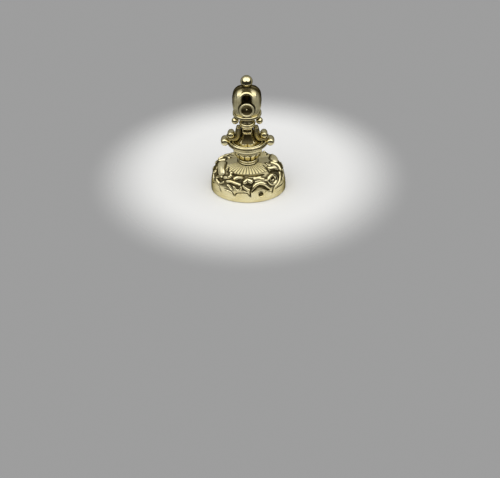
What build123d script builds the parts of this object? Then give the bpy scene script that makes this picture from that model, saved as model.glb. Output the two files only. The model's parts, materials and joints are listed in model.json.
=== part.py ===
from build123d import *
import os
from math import atan2, cos, degrees, hypot, radians, sin

# An oval-footed gilt wax seal, standing on its engraved stone. Millimetres, +Z up,
# +X along the oval's long axis, the front towards -Y, the origin under the middle of the foot.

# Foot: the plain setting rim and the stone that it holds
BASE_LENGTH = 22.0
BASE_WIDTH = 17.6
RIM_HEIGHT = 1.7
RIM_EDGE_ROUND = 0.4
RIM_FACE = 1.0
STONE_BEVEL = 0.5
STONE_THICKNESS = 1.2
BED_HEADROOM = 0.1
SETTING_CLEARANCE = 0.02

# Seal engraving: a plain rosette cut into the stone
ROSETTE_PETALS = 8
PETAL_LENGTH = 3.2
PETAL_TAIL_RADIUS = 0.15
PETAL_HEAD_RADIUS = 0.6
ROSETTE_EYE_RADIUS = 1.1

# Domed case with its cut rays and beaten ornament
CASE_STEP = 0.05
CASE_WALL = 0.6
SHOULDER_HEIGHT = 6.7
SHOULDER_FULLNESS = 1.1
CROWN_LENGTH = 16.0
CROWN_WIDTH = 12.8
RAY_COUNT = 52
RAY_RISE = 0.7
RAY_CUT_WIDTH = 0.34
RAY_CUT_DEPTH = 0.2
RAY_CUT_TAPER = 0.5
RAY_BORDER_SHARE = 0.05

# Ornament beaten up from the case, the same on the front and the rear. Each line is a half width and a
# height, then its places: degrees round from the front, and millimetres up the case's front profile.
BEATEN_KNOB = 1.08
BEATEN_LINES = (
    (0.52, 0.4, ((-50, 6.3), (-57, 7.2), (-69, 8.0), (-80, 8.3))),
    (0.5, 0.4, ((-61, 6.1), (-69, 6.75), (-80, 7.15))),
    (0.42, 0.38, ((-50, 5.0), (-57, 4.75), (-61, 4.1), (-58, 3.3), (-52, 3.0))),
    (0.5, 0.3, ((-74, 5.2), (-77, 4.2), (-71, 3.0))),
    (0.45, 0.4, ((-43, 5.3), (-36, 5.7), (-32, 6.3), (-34, 7.2))),
    (0.55, 0.45, ((-23, 5.7), (-17, 6.3), (-11, 6.4))),
    (0.4, 0.38, ((-36, 4.5), (-29, 4.75), (-21, 4.55), (-13, 4.2))),
    (0.35, 0.3, ((-33, 3.5), (-29, 3.0), (-25.5, 2.4))),
    (0.35, 0.22, ((-22.5, 3.4), (-19.5, 2.6), (-15.5, 2.35), (-12, 2.7), (-11, 3.4))),
    (0.6, 0.45, ((-5, 5.0), (0, 5.6), (6, 5.2))),
    (0.35, 0.24, ((-6.5, 3.9), (-4, 3.3), (-1, 2.9), (2.5, 2.6))),
    (0.4, 0.3, ((12, 6.0), (19, 6.0), (28, 5.4))),
    (0.5, 0.4, ((8, 2.8), (10.5, 3.7), (15, 4.3), (21, 4.5), (27, 4.1), (31.5, 3.4), (36, 2.2))),
    (0.55, 0.45, ((53, 8.0), (59, 7.6), (65, 7.2), (69.5, 6.5))),
    (0.42, 0.38, ((71, 9.1), (68, 8.6), (66, 8.3))),
    (0.5, 0.4, ((82, 8.3), (81, 7.4), (79, 6.4), (76, 5.5))),
    (0.45, 0.3, ((68.5, 5.0), (65, 3.9), (58, 2.8), (48, 2.0))),
    (0.5, 0.25, ((84, 4.6), (80, 3.4), (72, 2.6))),
)
RING_PLACE = (45, 4.5)
RING_RADIUS = 1.3
RING_TUBE = 0.5

# Post that threads the stack together, headed inside the case
POST_RADIUS = 0.75
POST_CLEARANCE = 0.02
POST_HEAD_RADIUS = 1.6
POST_HEAD_HEIGHT = 0.5
POST_ENTRY = 2.0

# Knop under the dish: neck ring and gadrooned cup
NECK_RING_HEIGHT = 1.4
NECK_RING_RADIUS = 3.2
CUP_HEIGHT = 3.8
CUP_FOOT_RADIUS = 2.6
CUP_LIP_RADIUS = 4.15
CUP_LIP_BAND = 1.1
CUP_LIP_ROUND = 0.25
GADROON_COUNT = 14
GADROON_HEAD_RADIUS = 0.85
GADROON_TAIL_RADIUS = 0.5
GADROON_SINK = 0.42

# Dish with a double-beaded rim and two rolled ends
DISH_RIM_REACH = 1.2
DISH_UNDERCUT = 0.85
DISH_FLOOR_Z = 1.6
DISH_BEAD_STEP = 0.2
DISH_LIP = 0.5
RIM_BEAD_RADIUS = 0.32
DISH_ROLL_RADIUS = 1.2
DISH_ROLL_STANDOFF = 0.65
DISH_ROLL_HALF_WIDTH = 1.6
ROLL_END_ROUND = 0.4

# Bell-shaped stem, its leaves and its side scrolls
STEM_HEIGHT = 5.1
STEM_FOOT_RADIUS = 3.2
STEM_WAIST_RADIUS = 1.7
STEM_TOP_RADIUS = 1.95
STEM_WAIST_Z = 3.5
LEAF_THICKNESS = 0.45
LEAF_TOP_WIDTH = 2.3
LEAF_FOOT_WIDTH = 4.5
LEAF_BORDER = 0.35
LEAF_FIELD_DEPTH = 0.22
LEAF_FOOT_GAP = 0.05
LEAF_LOBE_DEPTH = 0.75
LEAF_TOP_Z = 3.3
TAB_WIDTH = 2.4
TAB_HEIGHT = 1.2
TAB_FRAME = 0.3
SCROLL_WIDTH = 2.2
SCROLL_HEAD = 1.5
SCROLL_HEAD_ROUND = 0.6
SCROLL_STRAP = 0.75
SCROLL_TIP = 0.1
SCROLL_GAP = 0.12
SCROLL_FOOT_GAP = 0.2
SCROLL_END_TURN = 80.0
SCROLL_ROLL_RADIUS = 1.05
SCROLL_ROLL_HALF_WIDTH = 1.5
SCROLL_EDGE_ROUND = 0.2

# Collar, neck and bow collar
COLLAR_HEIGHT = 1.5
COLLAR_LOWER_HEIGHT = 0.6
COLLAR_RADIUS = 2.35
COLLAR_STEP = 0.15
NECK_HEIGHT = 1.8
NECK_WAIST_RADIUS = 1.7
NECK_TOP_RADIUS = 3.0
NECK_BEAD_RADIUS = 1.0
NECK_BEAD_GAP = 0.05
NECK_BEAD_LIFT = 0.25
NECK_BEAD_STALK = 0.35
BOW_COLLAR_HEIGHT = 0.95
BOW_COLLAR_ROUND = 0.3

# Bow: an arched handle struck in two halves, with its hanging eye
BOW_OVERHANG = 0.15
BOW_WAIST = 0.8
BOW_THICKNESS = 6.2
BOW_EDGE_ROUND = 1.7
EYE_RADIUS = 1.0
EYE_LIFT = -0.25
EYE_WALL = 1.45
NICHE_LAND = 0.35
NICHE_DEPTH = 0.8
NICHE_TAPER = 12.0

# Round bosses on the bow's two faces
BOSS_RADIUS = 2.1
BOSS_LIFT = 0.15
BOSS_HEIGHT = 0.8
BOSS_RIM = 0.34
BOSS_DISH_DEPTH = 0.5
BOSS_PIP_RADIUS = 0.32

# Finial ball and its seat
SEAT_RADIUS = 1.0
SEAT_HEIGHT = 0.4
BALL_RADIUS = 1.68
BALL_SINK = 0.4
BALL_PEG_RADIUS = 0.4
PEG_WALL = 0.45

# Heights of the stack, each piece standing on the one below
RIM_TOP = RIM_HEIGHT
CROWN_TOP = RIM_TOP + SHOULDER_HEIGHT
CASE_TOP = CROWN_TOP + RAY_RISE
NECK_RING_TOP = CASE_TOP + NECK_RING_HEIGHT
CUP_TOP = NECK_RING_TOP + CUP_HEIGHT
DISH_FLOOR = CUP_TOP + DISH_FLOOR_Z
STEM_TOP = DISH_FLOOR + STEM_HEIGHT
COLLAR_TOP = STEM_TOP + COLLAR_HEIGHT
NECK_TOP = COLLAR_TOP + NECK_HEIGHT
BOW_FOOT = NECK_TOP + BOW_COLLAR_HEIGHT
BOSS_CENTRE = BOW_FOOT + BOSS_LIFT + BOSS_RADIUS
EYE_CENTRE = BOSS_CENTRE + BOSS_RADIUS + EYE_LIFT + EYE_RADIUS
BOW_TOP = EYE_CENTRE + EYE_RADIUS + EYE_WALL
BALL_CENTRE = BOW_TOP + SEAT_HEIGHT + BALL_RADIUS - BALL_SINK

# Reaches from the middle, each cleared from the one inside it
POST_BORE = POST_RADIUS + POST_CLEARANCE
SCROLL_THROAT = SCROLL_ROLL_RADIUS + SCROLL_GAP
SCROLL_SWEEP = SCROLL_THROAT + SCROLL_STRAP
SCROLL_HEAD_X = STEM_TOP_RADIUS + SCROLL_HEAD
SCROLL_ROLL_X = SCROLL_HEAD_X + SCROLL_THROAT
SCROLL_ROLL_Z = DISH_FLOOR + SCROLL_FOOT_GAP + SCROLL_SWEEP
DISH_RADIUS = SCROLL_ROLL_X + DISH_RIM_REACH
NECK_BEAD_X = COLLAR_RADIUS + NECK_BEAD_GAP + NECK_BEAD_RADIUS
NECK_BEAD_Z = STEM_TOP + NECK_BEAD_LIFT + NECK_BEAD_RADIUS
BOW_COLLAR_RADIUS = NECK_BEAD_X + NECK_BEAD_STALK + BOW_COLLAR_ROUND
BOW_HALF_WIDTH = BOW_COLLAR_RADIUS + BOW_OVERHANG
BOW_FACE = BOW_THICKNESS / 2

os.makedirs("parts", exist_ok=True)


def save(piece, name):
    """Names a finished piece and writes its file."""
    piece.part.label = name
    export_step(piece.part, f"parts/{name}.step")


def teardrop(length, tail_radius, head_radius):
    """A drop along X: a cone from a small tail at the origin to a round head that far along."""
    with BuildPart() as drop:
        from_tail = (Align.CENTER, Align.CENTER, Align.MIN)
        Cone(tail_radius, head_radius, length, rotation=(0, 90, 0), align=from_tail)
        with Locations((length, 0, 0)):
            Sphere(head_radius)
    return drop.part


def barrel(radius, half_width):
    """A rolled scroll end: a plump barrel along Y, its ends rounded over, with its middle at the origin."""
    end_radius = radius - ROLL_END_ROUND
    with BuildPart() as roll:
        with BuildSketch(Plane.XY):
            with BuildLine():
                Line((0, -half_width), (end_radius, -half_width))
                ThreePointArc((end_radius, -half_width), (radius, 0), (end_radius, half_width))
                Line((end_radius, half_width), (0, half_width))
                Line((0, half_width), (0, -half_width))
            make_face()
        revolve(axis=Axis.Y)
        fillet(roll.edges().filter_by(GeomType.CIRCLE), ROLL_END_ROUND)
    return roll.part


# Stone: an oval hardstone with a bevelled edge, its face engraved with a rosette
stone_face = (BASE_LENGTH / 2 - RIM_FACE, BASE_WIDTH / 2 - RIM_FACE)
stone_girdle = (stone_face[0] + STONE_BEVEL, stone_face[1] + STONE_BEVEL)
with BuildPart() as stone_blank:
    with BuildSketch(Plane.XY):
        Ellipse(*stone_face)
    with BuildSketch(Plane.XY.offset(STONE_BEVEL)):
        Ellipse(*stone_girdle)
    loft(ruled=True)
    with BuildSketch(Plane.XY.offset(STONE_BEVEL)):
        Ellipse(*stone_girdle)
    extrude(amount=STONE_THICKNESS - STONE_BEVEL)

petal_cut = teardrop(PETAL_LENGTH, PETAL_TAIL_RADIUS, PETAL_HEAD_RADIUS)
with BuildPart() as seal_stone:
    add(stone_blank.part)
    with PolarLocations(ROSETTE_EYE_RADIUS, ROSETTE_PETALS):
        add(petal_cut, mode=Mode.SUBTRACT)
    Sphere(ROSETTE_EYE_RADIUS / 2, mode=Mode.SUBTRACT)
save(seal_stone, "seal_stone")

# Setting rim: the plain gilt band at the foot, its lip closed over the stone's bevel
bore_oval = (stone_girdle[0] + SETTING_CLEARANCE, stone_girdle[1] + SETTING_CLEARANCE)
with BuildPart() as setting_rim:
    with BuildSketch(Plane.XY):
        Ellipse(BASE_LENGTH / 2, BASE_WIDTH / 2)
    extrude(amount=RIM_HEIGHT)
    fillet(setting_rim.edges().group_by(Axis.Z)[0], RIM_EDGE_ROUND)
    with BuildSketch(Plane.XY.offset(STONE_BEVEL)):
        Ellipse(*bore_oval)
    extrude(amount=RIM_HEIGHT, mode=Mode.SUBTRACT)
    add(stone_blank.part, mode=Mode.SUBTRACT)
save(setting_rim, "setting_rim")

# Stone bed: the shellac that the stone is bedded on, filling the rim's well
with BuildPart() as stone_bed:
    with BuildSketch(Plane.XY.offset(STONE_THICKNESS)):
        Ellipse(*stone_girdle)
    extrude(amount=RIM_HEIGHT - STONE_THICKNESS - BED_HEADROOM)
save(stone_bed, "stone_bed")

# Base case: the struck dome, a hollow bun that turns over to a crown of cut rays
case_foot = (BASE_LENGTH / 2 - CASE_STEP, BASE_WIDTH / 2 - CASE_STEP)
crown = (CROWN_LENGTH / 2, CROWN_WIDTH / 2)
roof = CASE_TOP - CASE_WALL - RAY_CUT_DEPTH
BUN_TURNS = (0, 20, 42, 62, 78, 90)
CAVITY_TURNS = (0, 42, 90)


def bun_section(turn, wall):
    """Half sizes and height of the bun where its profile has turned by that angle, taken in by a wall."""
    inward = 1 - cos(radians(turn)) ** SHOULDER_FULLNESS
    upward = sin(radians(turn)) ** SHOULDER_FULLNESS
    half_length = case_foot[0] - (case_foot[0] - crown[0]) * inward - wall
    half_width = case_foot[1] - (case_foot[1] - crown[1]) * inward - wall
    return half_length, half_width, RIM_TOP + (SHOULDER_HEIGHT - wall) * upward


def on_crown(turn, share):
    """The point on the crown's slope at a turn, a share of the way from the neck ring to its edge."""
    half_length = NECK_RING_RADIUS + (crown[0] - NECK_RING_RADIUS) * share
    half_width = NECK_RING_RADIUS + (crown[1] - NECK_RING_RADIUS) * share
    return Vector(half_length * cos(turn), half_width * sin(turn), CASE_TOP - RAY_RISE * share)


def ray_cut(turn):
    """One ray: a V groove that widens and deepens from the neck ring to the crown's border."""
    inner = on_crown(turn, RAY_BORDER_SHARE)
    outer = on_crown(turn, 1 - RAY_BORDER_SHARE)
    across = Vector(-sin(turn), cos(turn), 0)
    sections = []
    for middle, growth in ((inner, RAY_CUT_TAPER), (outer, 1)):
        half_mouth = RAY_CUT_WIDTH * growth
        depth = RAY_CUT_DEPTH * growth
        with BuildSketch(Plane(middle, x_dir=across, z_dir=outer - inner)) as section:
            with BuildLine():
                Polyline((-half_mouth, depth), (0, -depth), (half_mouth, depth), close=True)
            make_face()
        sections.append(section.sketch)
    return loft(sections, ruled=True)


rays = [ray_cut(radians(360 * (step + 0.5) / RAY_COUNT)) for step in range(RAY_COUNT)]
case_rings = [bun_section(turn, 0) for turn in range(91)]
case_rings.append((NECK_RING_RADIUS, NECK_RING_RADIUS, CASE_TOP))
case_climbs = [0]
for (_, width, height), (_, next_width, next_height) in zip(case_rings, case_rings[1:]):
    case_climbs.append(case_climbs[-1] + hypot(next_width - width, next_height - height))


def on_case(turn, climb):
    """The plain case's point at an angle round from the front, a climb up the front profile."""
    step = max(index for index, reached in enumerate(case_climbs[:-1]) if reached <= climb)
    share = (climb - case_climbs[step]) / (case_climbs[step + 1] - case_climbs[step])
    low, high = case_rings[step], case_rings[step + 1]
    half_length, half_width, height = (start + (end - start) * share for start, end in zip(low, high))
    return Vector(half_length * sin(radians(turn)), -half_width * cos(radians(turn)), height)


def case_normal(turn, climb):
    """The direction straight out of the plain case at a place on it."""
    across = on_case(turn + 1, climb) - on_case(turn - 1, climb)
    up = on_case(turn, climb + 0.1) - on_case(turn, climb - 0.1)
    return across.cross(up).normalized()


def beaten_line(half_width, height, places):
    """A rounded ridge along places on the case: a rod with knobs at its ends, sunk to stand out by that height."""
    rod_radius = (half_width**2 + height**2) / (2 * height)
    middles = [on_case(*place) - case_normal(*place) * (rod_radius - height) for place in places]
    with BuildPart() as ridge:
        with BuildLine():
            path = Spline(*middles)
        with BuildSketch(Plane(path @ 0, z_dir=path % 0)):
            Circle(rod_radius)
        sweep()
        for end, way_out, place in ((path @ 0, -(path % 0), places[0]), (path @ 1, path % 1, places[-1])):
            with Locations(Plane(end, z_dir=way_out - case_normal(*place))):
                Sphere(rod_radius * BEATEN_KNOB)
    return ridge.part


ridges = [beaten_line(*line) for line in BEATEN_LINES]
ring_plane = Plane(on_case(*RING_PLACE), z_dir=case_normal(*RING_PLACE))
with BuildPart() as case_side:
    for turn in BUN_TURNS:
        half_length, half_width, height = bun_section(turn, 0)
        with BuildSketch(Plane.XY.offset(height)):
            Ellipse(half_length, half_width)
    loft()
    with BuildSketch(Plane.XY.offset(CROWN_TOP)):
        Ellipse(*crown)
    with BuildSketch(Plane.XY.offset(CASE_TOP)):
        Circle(NECK_RING_RADIUS)
    loft(ruled=True)
    add(rays, mode=Mode.SUBTRACT)
    split(bisect_by=Plane.XZ, keep=Keep.TOP)
    add(ridges)
    with Locations(ring_plane):
        Torus(RING_RADIUS, RING_TUBE)
with BuildPart() as base_case:
    add(case_side.part)
    add(case_side.part, rotation=(0, 0, 180))
    for turn in CAVITY_TURNS:
        half_length, half_width, height = bun_section(turn, CASE_WALL)
        with BuildSketch(Plane.XY.offset(height)):
            Ellipse(half_length, half_width)
    loft(ruled=True, mode=Mode.SUBTRACT)
    with BuildSketch(Plane.XY.offset(CROWN_TOP - CASE_WALL)):
        Ellipse(crown[0] - CASE_WALL, crown[1] - CASE_WALL)
    with BuildSketch(Plane.XY.offset(roof)):
        Circle(POST_HEAD_RADIUS + CASE_WALL)
    loft(ruled=True, mode=Mode.SUBTRACT)
    with Locations((0, 0, CASE_TOP)):
        Hole(POST_BORE)
save(base_case, "base_case")

# Post: riveted over inside the case, and run up through the whole stack into the bow
post_top = BOW_FOOT + POST_ENTRY
with BuildPart() as core_post:
    with Locations((0, 0, roof)):
        Cylinder(POST_RADIUS, post_top - roof, align=(Align.CENTER, Align.CENTER, Align.MIN))
        Cylinder(POST_HEAD_RADIUS, POST_HEAD_HEIGHT, align=(Align.CENTER, Align.CENTER, Align.MAX))
    fillet(core_post.edges().group_by(Axis.Z)[0], POST_HEAD_HEIGHT / 2)
save(core_post, "core_post")

# Neck ring: a turned foot between the dome and the cup
with BuildPart() as neck_ring:
    with BuildSketch(Plane.XZ):
        with BuildLine():
            Line((POST_BORE, CASE_TOP), (NECK_RING_RADIUS, CASE_TOP))
            TangentArc((NECK_RING_RADIUS, CASE_TOP), (CUP_FOOT_RADIUS, NECK_RING_TOP), tangent=(0, 1))
            Line((CUP_FOOT_RADIUS, NECK_RING_TOP), (POST_BORE, NECK_RING_TOP))
            Line((POST_BORE, NECK_RING_TOP), (POST_BORE, CASE_TOP))
        make_face()
    revolve(axis=Axis.Z)
save(neck_ring, "neck_ring")

# Gadrooned cup: a bowl of plump lobes round a plain core, under a smooth lip
lip_foot = CUP_TOP - CUP_LIP_BAND
lobe_rise = lip_foot - NECK_RING_TOP - GADROON_HEAD_RADIUS
lobe_lean = CUP_LIP_RADIUS - CUP_FOOT_RADIUS - GADROON_SINK
lobe = teardrop(hypot(lobe_rise, lobe_lean), GADROON_TAIL_RADIUS, GADROON_HEAD_RADIUS)
lobe = lobe.rotate(Axis.Y, -degrees(atan2(lobe_rise, lobe_lean)))
with BuildPart() as fluted_cup:
    with BuildSketch(Plane.XZ):
        with BuildLine():
            Polyline(
                (POST_BORE, NECK_RING_TOP),
                (CUP_FOOT_RADIUS - GADROON_SINK, NECK_RING_TOP),
                (CUP_LIP_RADIUS - GADROON_SINK, lip_foot),
                (CUP_LIP_RADIUS, lip_foot),
                (CUP_LIP_RADIUS, CUP_TOP),
                (POST_BORE, CUP_TOP),
                close=True,
            )
        make_face()
    revolve(axis=Axis.Z)
    lip_edge = fluted_cup.edges().filter_by(GeomType.CIRCLE).group_by(Axis.Z)[1].sort_by(SortBy.LENGTH)[-1]
    fillet(lip_edge, CUP_LIP_ROUND)
    with Locations((0, 0, NECK_RING_TOP)):
        with PolarLocations(CUP_FOOT_RADIUS - GADROON_TAIL_RADIUS, GADROON_COUNT, start_angle=90):
            add(lobe)
    with BuildSketch(Plane.XY.offset(NECK_RING_TOP)):
        Circle(2 * CUP_LIP_RADIUS)
        Circle(POST_BORE, mode=Mode.SUBTRACT)
    extrude(amount=CUP_HEIGHT, mode=Mode.INTERSECT)
save(fluted_cup, "fluted_cup")

# Dish: a shallow saucer whose rim is a pair of beads, one over the other
bead_foot = CUP_TOP + DISH_UNDERCUT
bead_seam = bead_foot + 2 * RIM_BEAD_RADIUS
bead_top = bead_seam + 2 * RIM_BEAD_RADIUS
lower_bead = DISH_RADIUS - RIM_BEAD_RADIUS
upper_bead = lower_bead - DISH_BEAD_STEP
dish_well = upper_bead - DISH_LIP
with BuildPart() as dish:
    with BuildSketch(Plane.XZ):
        with BuildLine():
            Line((POST_BORE, CUP_TOP), (CUP_LIP_RADIUS, CUP_TOP))
            TangentArc((CUP_LIP_RADIUS, CUP_TOP), (lower_bead, bead_foot), tangent=(0, 1))
            ThreePointArc(
                (lower_bead, bead_foot), (DISH_RADIUS, bead_foot + RIM_BEAD_RADIUS), (lower_bead, bead_seam)
            )
            Line((lower_bead, bead_seam), (upper_bead, bead_seam))
            ThreePointArc(
                (upper_bead, bead_seam),
                (upper_bead + RIM_BEAD_RADIUS, bead_seam + RIM_BEAD_RADIUS),
                (upper_bead, bead_top),
            )
            Line((upper_bead, bead_top), (dish_well, DISH_FLOOR))
            Line((dish_well, DISH_FLOOR), (POST_BORE, DISH_FLOOR))
            Line((POST_BORE, DISH_FLOOR), (POST_BORE, CUP_TOP))
        make_face()
    revolve(axis=Axis.Z)
save(dish, "dish")

# Dish rolls: the two rolled ends saddled on the dish's rim
dish_roll = barrel(DISH_ROLL_RADIUS, DISH_ROLL_HALF_WIDTH)
with BuildPart() as rim_roll:
    with Locations((DISH_RADIUS + DISH_ROLL_STANDOFF, 0, bead_seam)):
        add(dish_roll)
    add(dish.part, mode=Mode.SUBTRACT)
for turn, name in ((180, "dish_roll_left"), (0, "dish_roll_right")):
    with BuildPart() as end_roll:
        add(rim_roll.part, rotation=(0, 0, turn))
    save(end_roll, name)


# Stem: a bell that flares to the dish and carries the leaves and side scrolls
def stem_bell(growth, bore):
    """The bell's solid of revolution, its outline moved out by a growth, round a bore."""
    foot_point = (STEM_FOOT_RADIUS + growth, DISH_FLOOR)
    waist_point = (STEM_WAIST_RADIUS + growth, DISH_FLOOR + STEM_WAIST_Z)
    top_point = (STEM_TOP_RADIUS + growth, STEM_TOP)
    with BuildPart() as bell:
        with BuildSketch(Plane.XZ):
            with BuildLine():
                Line((bore, DISH_FLOOR), foot_point)
                TangentArc(waist_point, foot_point, tangent=(0, -1))
                TangentArc(waist_point, top_point, tangent=(0, 1))
                Line(top_point, (bore, STEM_TOP))
                Line((bore, STEM_TOP), (bore, DISH_FLOOR))
            make_face()
        revolve(axis=Axis.Z)
    return bell.part


stem_body = stem_bell(0, POST_BORE)
with BuildPart() as stem:
    add(stem_body)
save(stem, "stem")


# Stem leaves: a two-lobed leaf under a framed tab, dished between raised borders
def leaf_outline(border):
    """The leaf's front view, drawn in by a border: straight sides that spread to two round lobes."""
    head = DISH_FLOOR + LEAF_TOP_Z - border
    shoulder = DISH_FLOOR + LEAF_FOOT_GAP + LEAF_LOBE_DEPTH + border
    half_top = LEAF_TOP_WIDTH / 2 - border
    half_foot = LEAF_FOOT_WIDTH / 2 - border
    lobe_low = DISH_FLOOR + LEAF_FOOT_GAP + border
    with BuildSketch(Plane.XZ) as outline:
        with BuildLine():
            Line((half_top, head), (half_foot, shoulder))
            ThreePointArc((half_foot, shoulder), (half_foot / 2, lobe_low), (0, shoulder))
            ThreePointArc((0, shoulder), (-half_foot / 2, lobe_low), (-half_foot, shoulder))
            Line((-half_foot, shoulder), (-half_top, head))
            Line((-half_top, head), (half_top, head))
        make_face()
    return outline.sketch


def tab_outline(border):
    """The framed tab over the leaf, drawn in by a border."""
    with BuildSketch(Plane.XZ) as outline:
        with Locations((0, DISH_FLOOR + LEAF_TOP_Z + TAB_HEIGHT / 2)):
            Rectangle(TAB_WIDTH - 2 * border, TAB_HEIGHT - 2 * border)
    return outline.sketch


leaf_skin = stem_bell(LEAF_THICKNESS, POST_BORE)
field_floor = stem_bell(LEAF_THICKNESS - LEAF_FIELD_DEPTH, POST_BORE)
leaf_shape = leaf_outline(0) + tab_outline(0)
field_shape = leaf_outline(LEAF_BORDER) + tab_outline(TAB_FRAME)
leaf_reach = STEM_FOOT_RADIUS + 2 * LEAF_THICKNESS
with BuildPart() as leaf:
    add(leaf_skin)
    extrude(leaf_shape, amount=leaf_reach, mode=Mode.INTERSECT)
    add(stem_body, mode=Mode.SUBTRACT)
with BuildPart() as leaf_field:
    extrude(field_shape, amount=leaf_reach)
    add(field_floor, mode=Mode.SUBTRACT)
for turn, name in ((0, "stem_leaf_front"), (180, "stem_leaf_rear")):
    with BuildPart() as stem_leaf:
        add(leaf.part, rotation=(0, 0, turn))
        add(leaf_field.part, rotation=(0, 0, turn), mode=Mode.SUBTRACT)
    save(stem_leaf, name)


# Side scrolls: a strap that falls from the collar, turns under and ends in a roll
def round_roll(turn, radius):
    """The point at a radius from the roll's middle, turned from straight down towards the outside."""
    return (SCROLL_ROLL_X + radius * sin(radians(turn)), SCROLL_ROLL_Z - radius * cos(radians(turn)))


tip_radius = SCROLL_ROLL_RADIUS + SCROLL_TIP
tongue_radius = SCROLL_ROLL_RADIUS / 2
tongue_turn = SCROLL_END_TURN / 4
scroll_roll = barrel(SCROLL_ROLL_RADIUS, SCROLL_ROLL_HALF_WIDTH)
stem_core = stem_bell(0, 0)
with BuildPart() as side_scroll:
    with BuildSketch(Plane.XZ):
        with BuildLine():
            head_start = (SCROLL_HEAD_X - SCROLL_HEAD_ROUND, STEM_TOP)
            head_end = (SCROLL_HEAD_X, STEM_TOP - SCROLL_HEAD_ROUND)
            Line((0, STEM_TOP), head_start)
            TangentArc(head_start, head_end, tangent=(1, 0))
            Line(head_end, round_roll(-90, SCROLL_THROAT))
            ThreePointArc(
                round_roll(-90, SCROLL_THROAT),
                round_roll((tongue_turn - 90) / 2, SCROLL_THROAT),
                round_roll(tongue_turn, SCROLL_THROAT),
            )
            Polyline(
                round_roll(tongue_turn, SCROLL_THROAT),
                round_roll(tongue_turn, tongue_radius),
                round_roll(SCROLL_END_TURN, tongue_radius),
                round_roll(SCROLL_END_TURN, tip_radius),
            )
            ThreePointArc(
                round_roll(SCROLL_END_TURN, tip_radius),
                round_roll(0, SCROLL_SWEEP),
                round_roll(-SCROLL_END_TURN, SCROLL_SWEEP),
            )
            foot = round_roll(-SCROLL_END_TURN, SCROLL_SWEEP)
            Polyline(foot, (0, foot[1]), (0, STEM_TOP))
        make_face()
    extrude(amount=SCROLL_WIDTH / 2, both=True)
    strap_edges = side_scroll.edges().group_by(Axis.Y)[0] + side_scroll.edges().group_by(Axis.Y)[-1]
    fillet(strap_edges.filter_by(GeomType.CIRCLE), SCROLL_EDGE_ROUND)
    with Locations((SCROLL_ROLL_X, 0, SCROLL_ROLL_Z)):
        add(scroll_roll)
for turn, name in ((180, "scroll_left"), (0, "scroll_right")):
    with BuildPart() as scroll:
        add(side_scroll.part, rotation=(0, 0, turn))
        add(stem_core, mode=Mode.SUBTRACT)
        add(dish.part, mode=Mode.SUBTRACT)
        add(leaf.part, mode=Mode.SUBTRACT)
        add(leaf.part, rotation=(0, 0, 180), mode=Mode.SUBTRACT)
    save(scroll, name)

# Stem collar: two turned beads on top of the stem
collar_seam = STEM_TOP + COLLAR_LOWER_HEIGHT
with BuildPart() as stem_collar:
    with BuildSketch(Plane.XZ):
        with BuildLine():
            Line((POST_BORE, STEM_TOP), (STEM_TOP_RADIUS, STEM_TOP))
            ThreePointArc(
                (STEM_TOP_RADIUS, STEM_TOP),
                (COLLAR_RADIUS - COLLAR_STEP, (STEM_TOP + collar_seam) / 2),
                (STEM_TOP_RADIUS, collar_seam),
            )
            ThreePointArc(
                (STEM_TOP_RADIUS, collar_seam),
                (COLLAR_RADIUS, (collar_seam + COLLAR_TOP) / 2),
                (STEM_TOP_RADIUS, COLLAR_TOP),
            )
            Line((STEM_TOP_RADIUS, COLLAR_TOP), (POST_BORE, COLLAR_TOP))
            Line((POST_BORE, COLLAR_TOP), (POST_BORE, STEM_TOP))
        make_face()
    revolve(axis=Axis.Z)
save(stem_collar, "stem_collar")

# Bow neck: a cavetto that spreads to carry the bow collar
with BuildPart() as bow_neck:
    with BuildSketch(Plane.XZ):
        with BuildLine():
            Line((POST_BORE, COLLAR_TOP), (NECK_WAIST_RADIUS, COLLAR_TOP))
            TangentArc((NECK_WAIST_RADIUS, COLLAR_TOP), (NECK_TOP_RADIUS, NECK_TOP), tangent=(0, 1))
            Line((NECK_TOP_RADIUS, NECK_TOP), (POST_BORE, NECK_TOP))
            Line((POST_BORE, NECK_TOP), (POST_BORE, COLLAR_TOP))
        make_face()
    revolve(axis=Axis.Z)
save(bow_neck, "bow_neck")

# Neck beads: two balls that hang under the ends of the bow collar
for side, name in ((-1, "neck_bead_left"), (1, "neck_bead_right")):
    with BuildPart() as neck_bead:
        with Locations((side * NECK_BEAD_X, 0, NECK_BEAD_Z)):
            Sphere(NECK_BEAD_RADIUS)
            Cylinder(NECK_BEAD_STALK, NECK_TOP - NECK_BEAD_Z, align=(Align.CENTER, Align.CENTER, Align.MIN))
        add(bow_neck.part, mode=Mode.SUBTRACT)
    save(neck_bead, name)

# Bow collar: the round plate that the bow stands on
with BuildPart() as bow_collar:
    with BuildSketch(Plane.XY.offset(NECK_TOP)):
        Circle(BOW_COLLAR_RADIUS)
    extrude(amount=BOW_COLLAR_HEIGHT)
    fillet(bow_collar.edges().filter_by(GeomType.CIRCLE), BOW_COLLAR_ROUND)
    with Locations((0, 0, BOW_FOOT)):
        Hole(POST_BORE)
save(bow_collar, "bow_collar")

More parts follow.
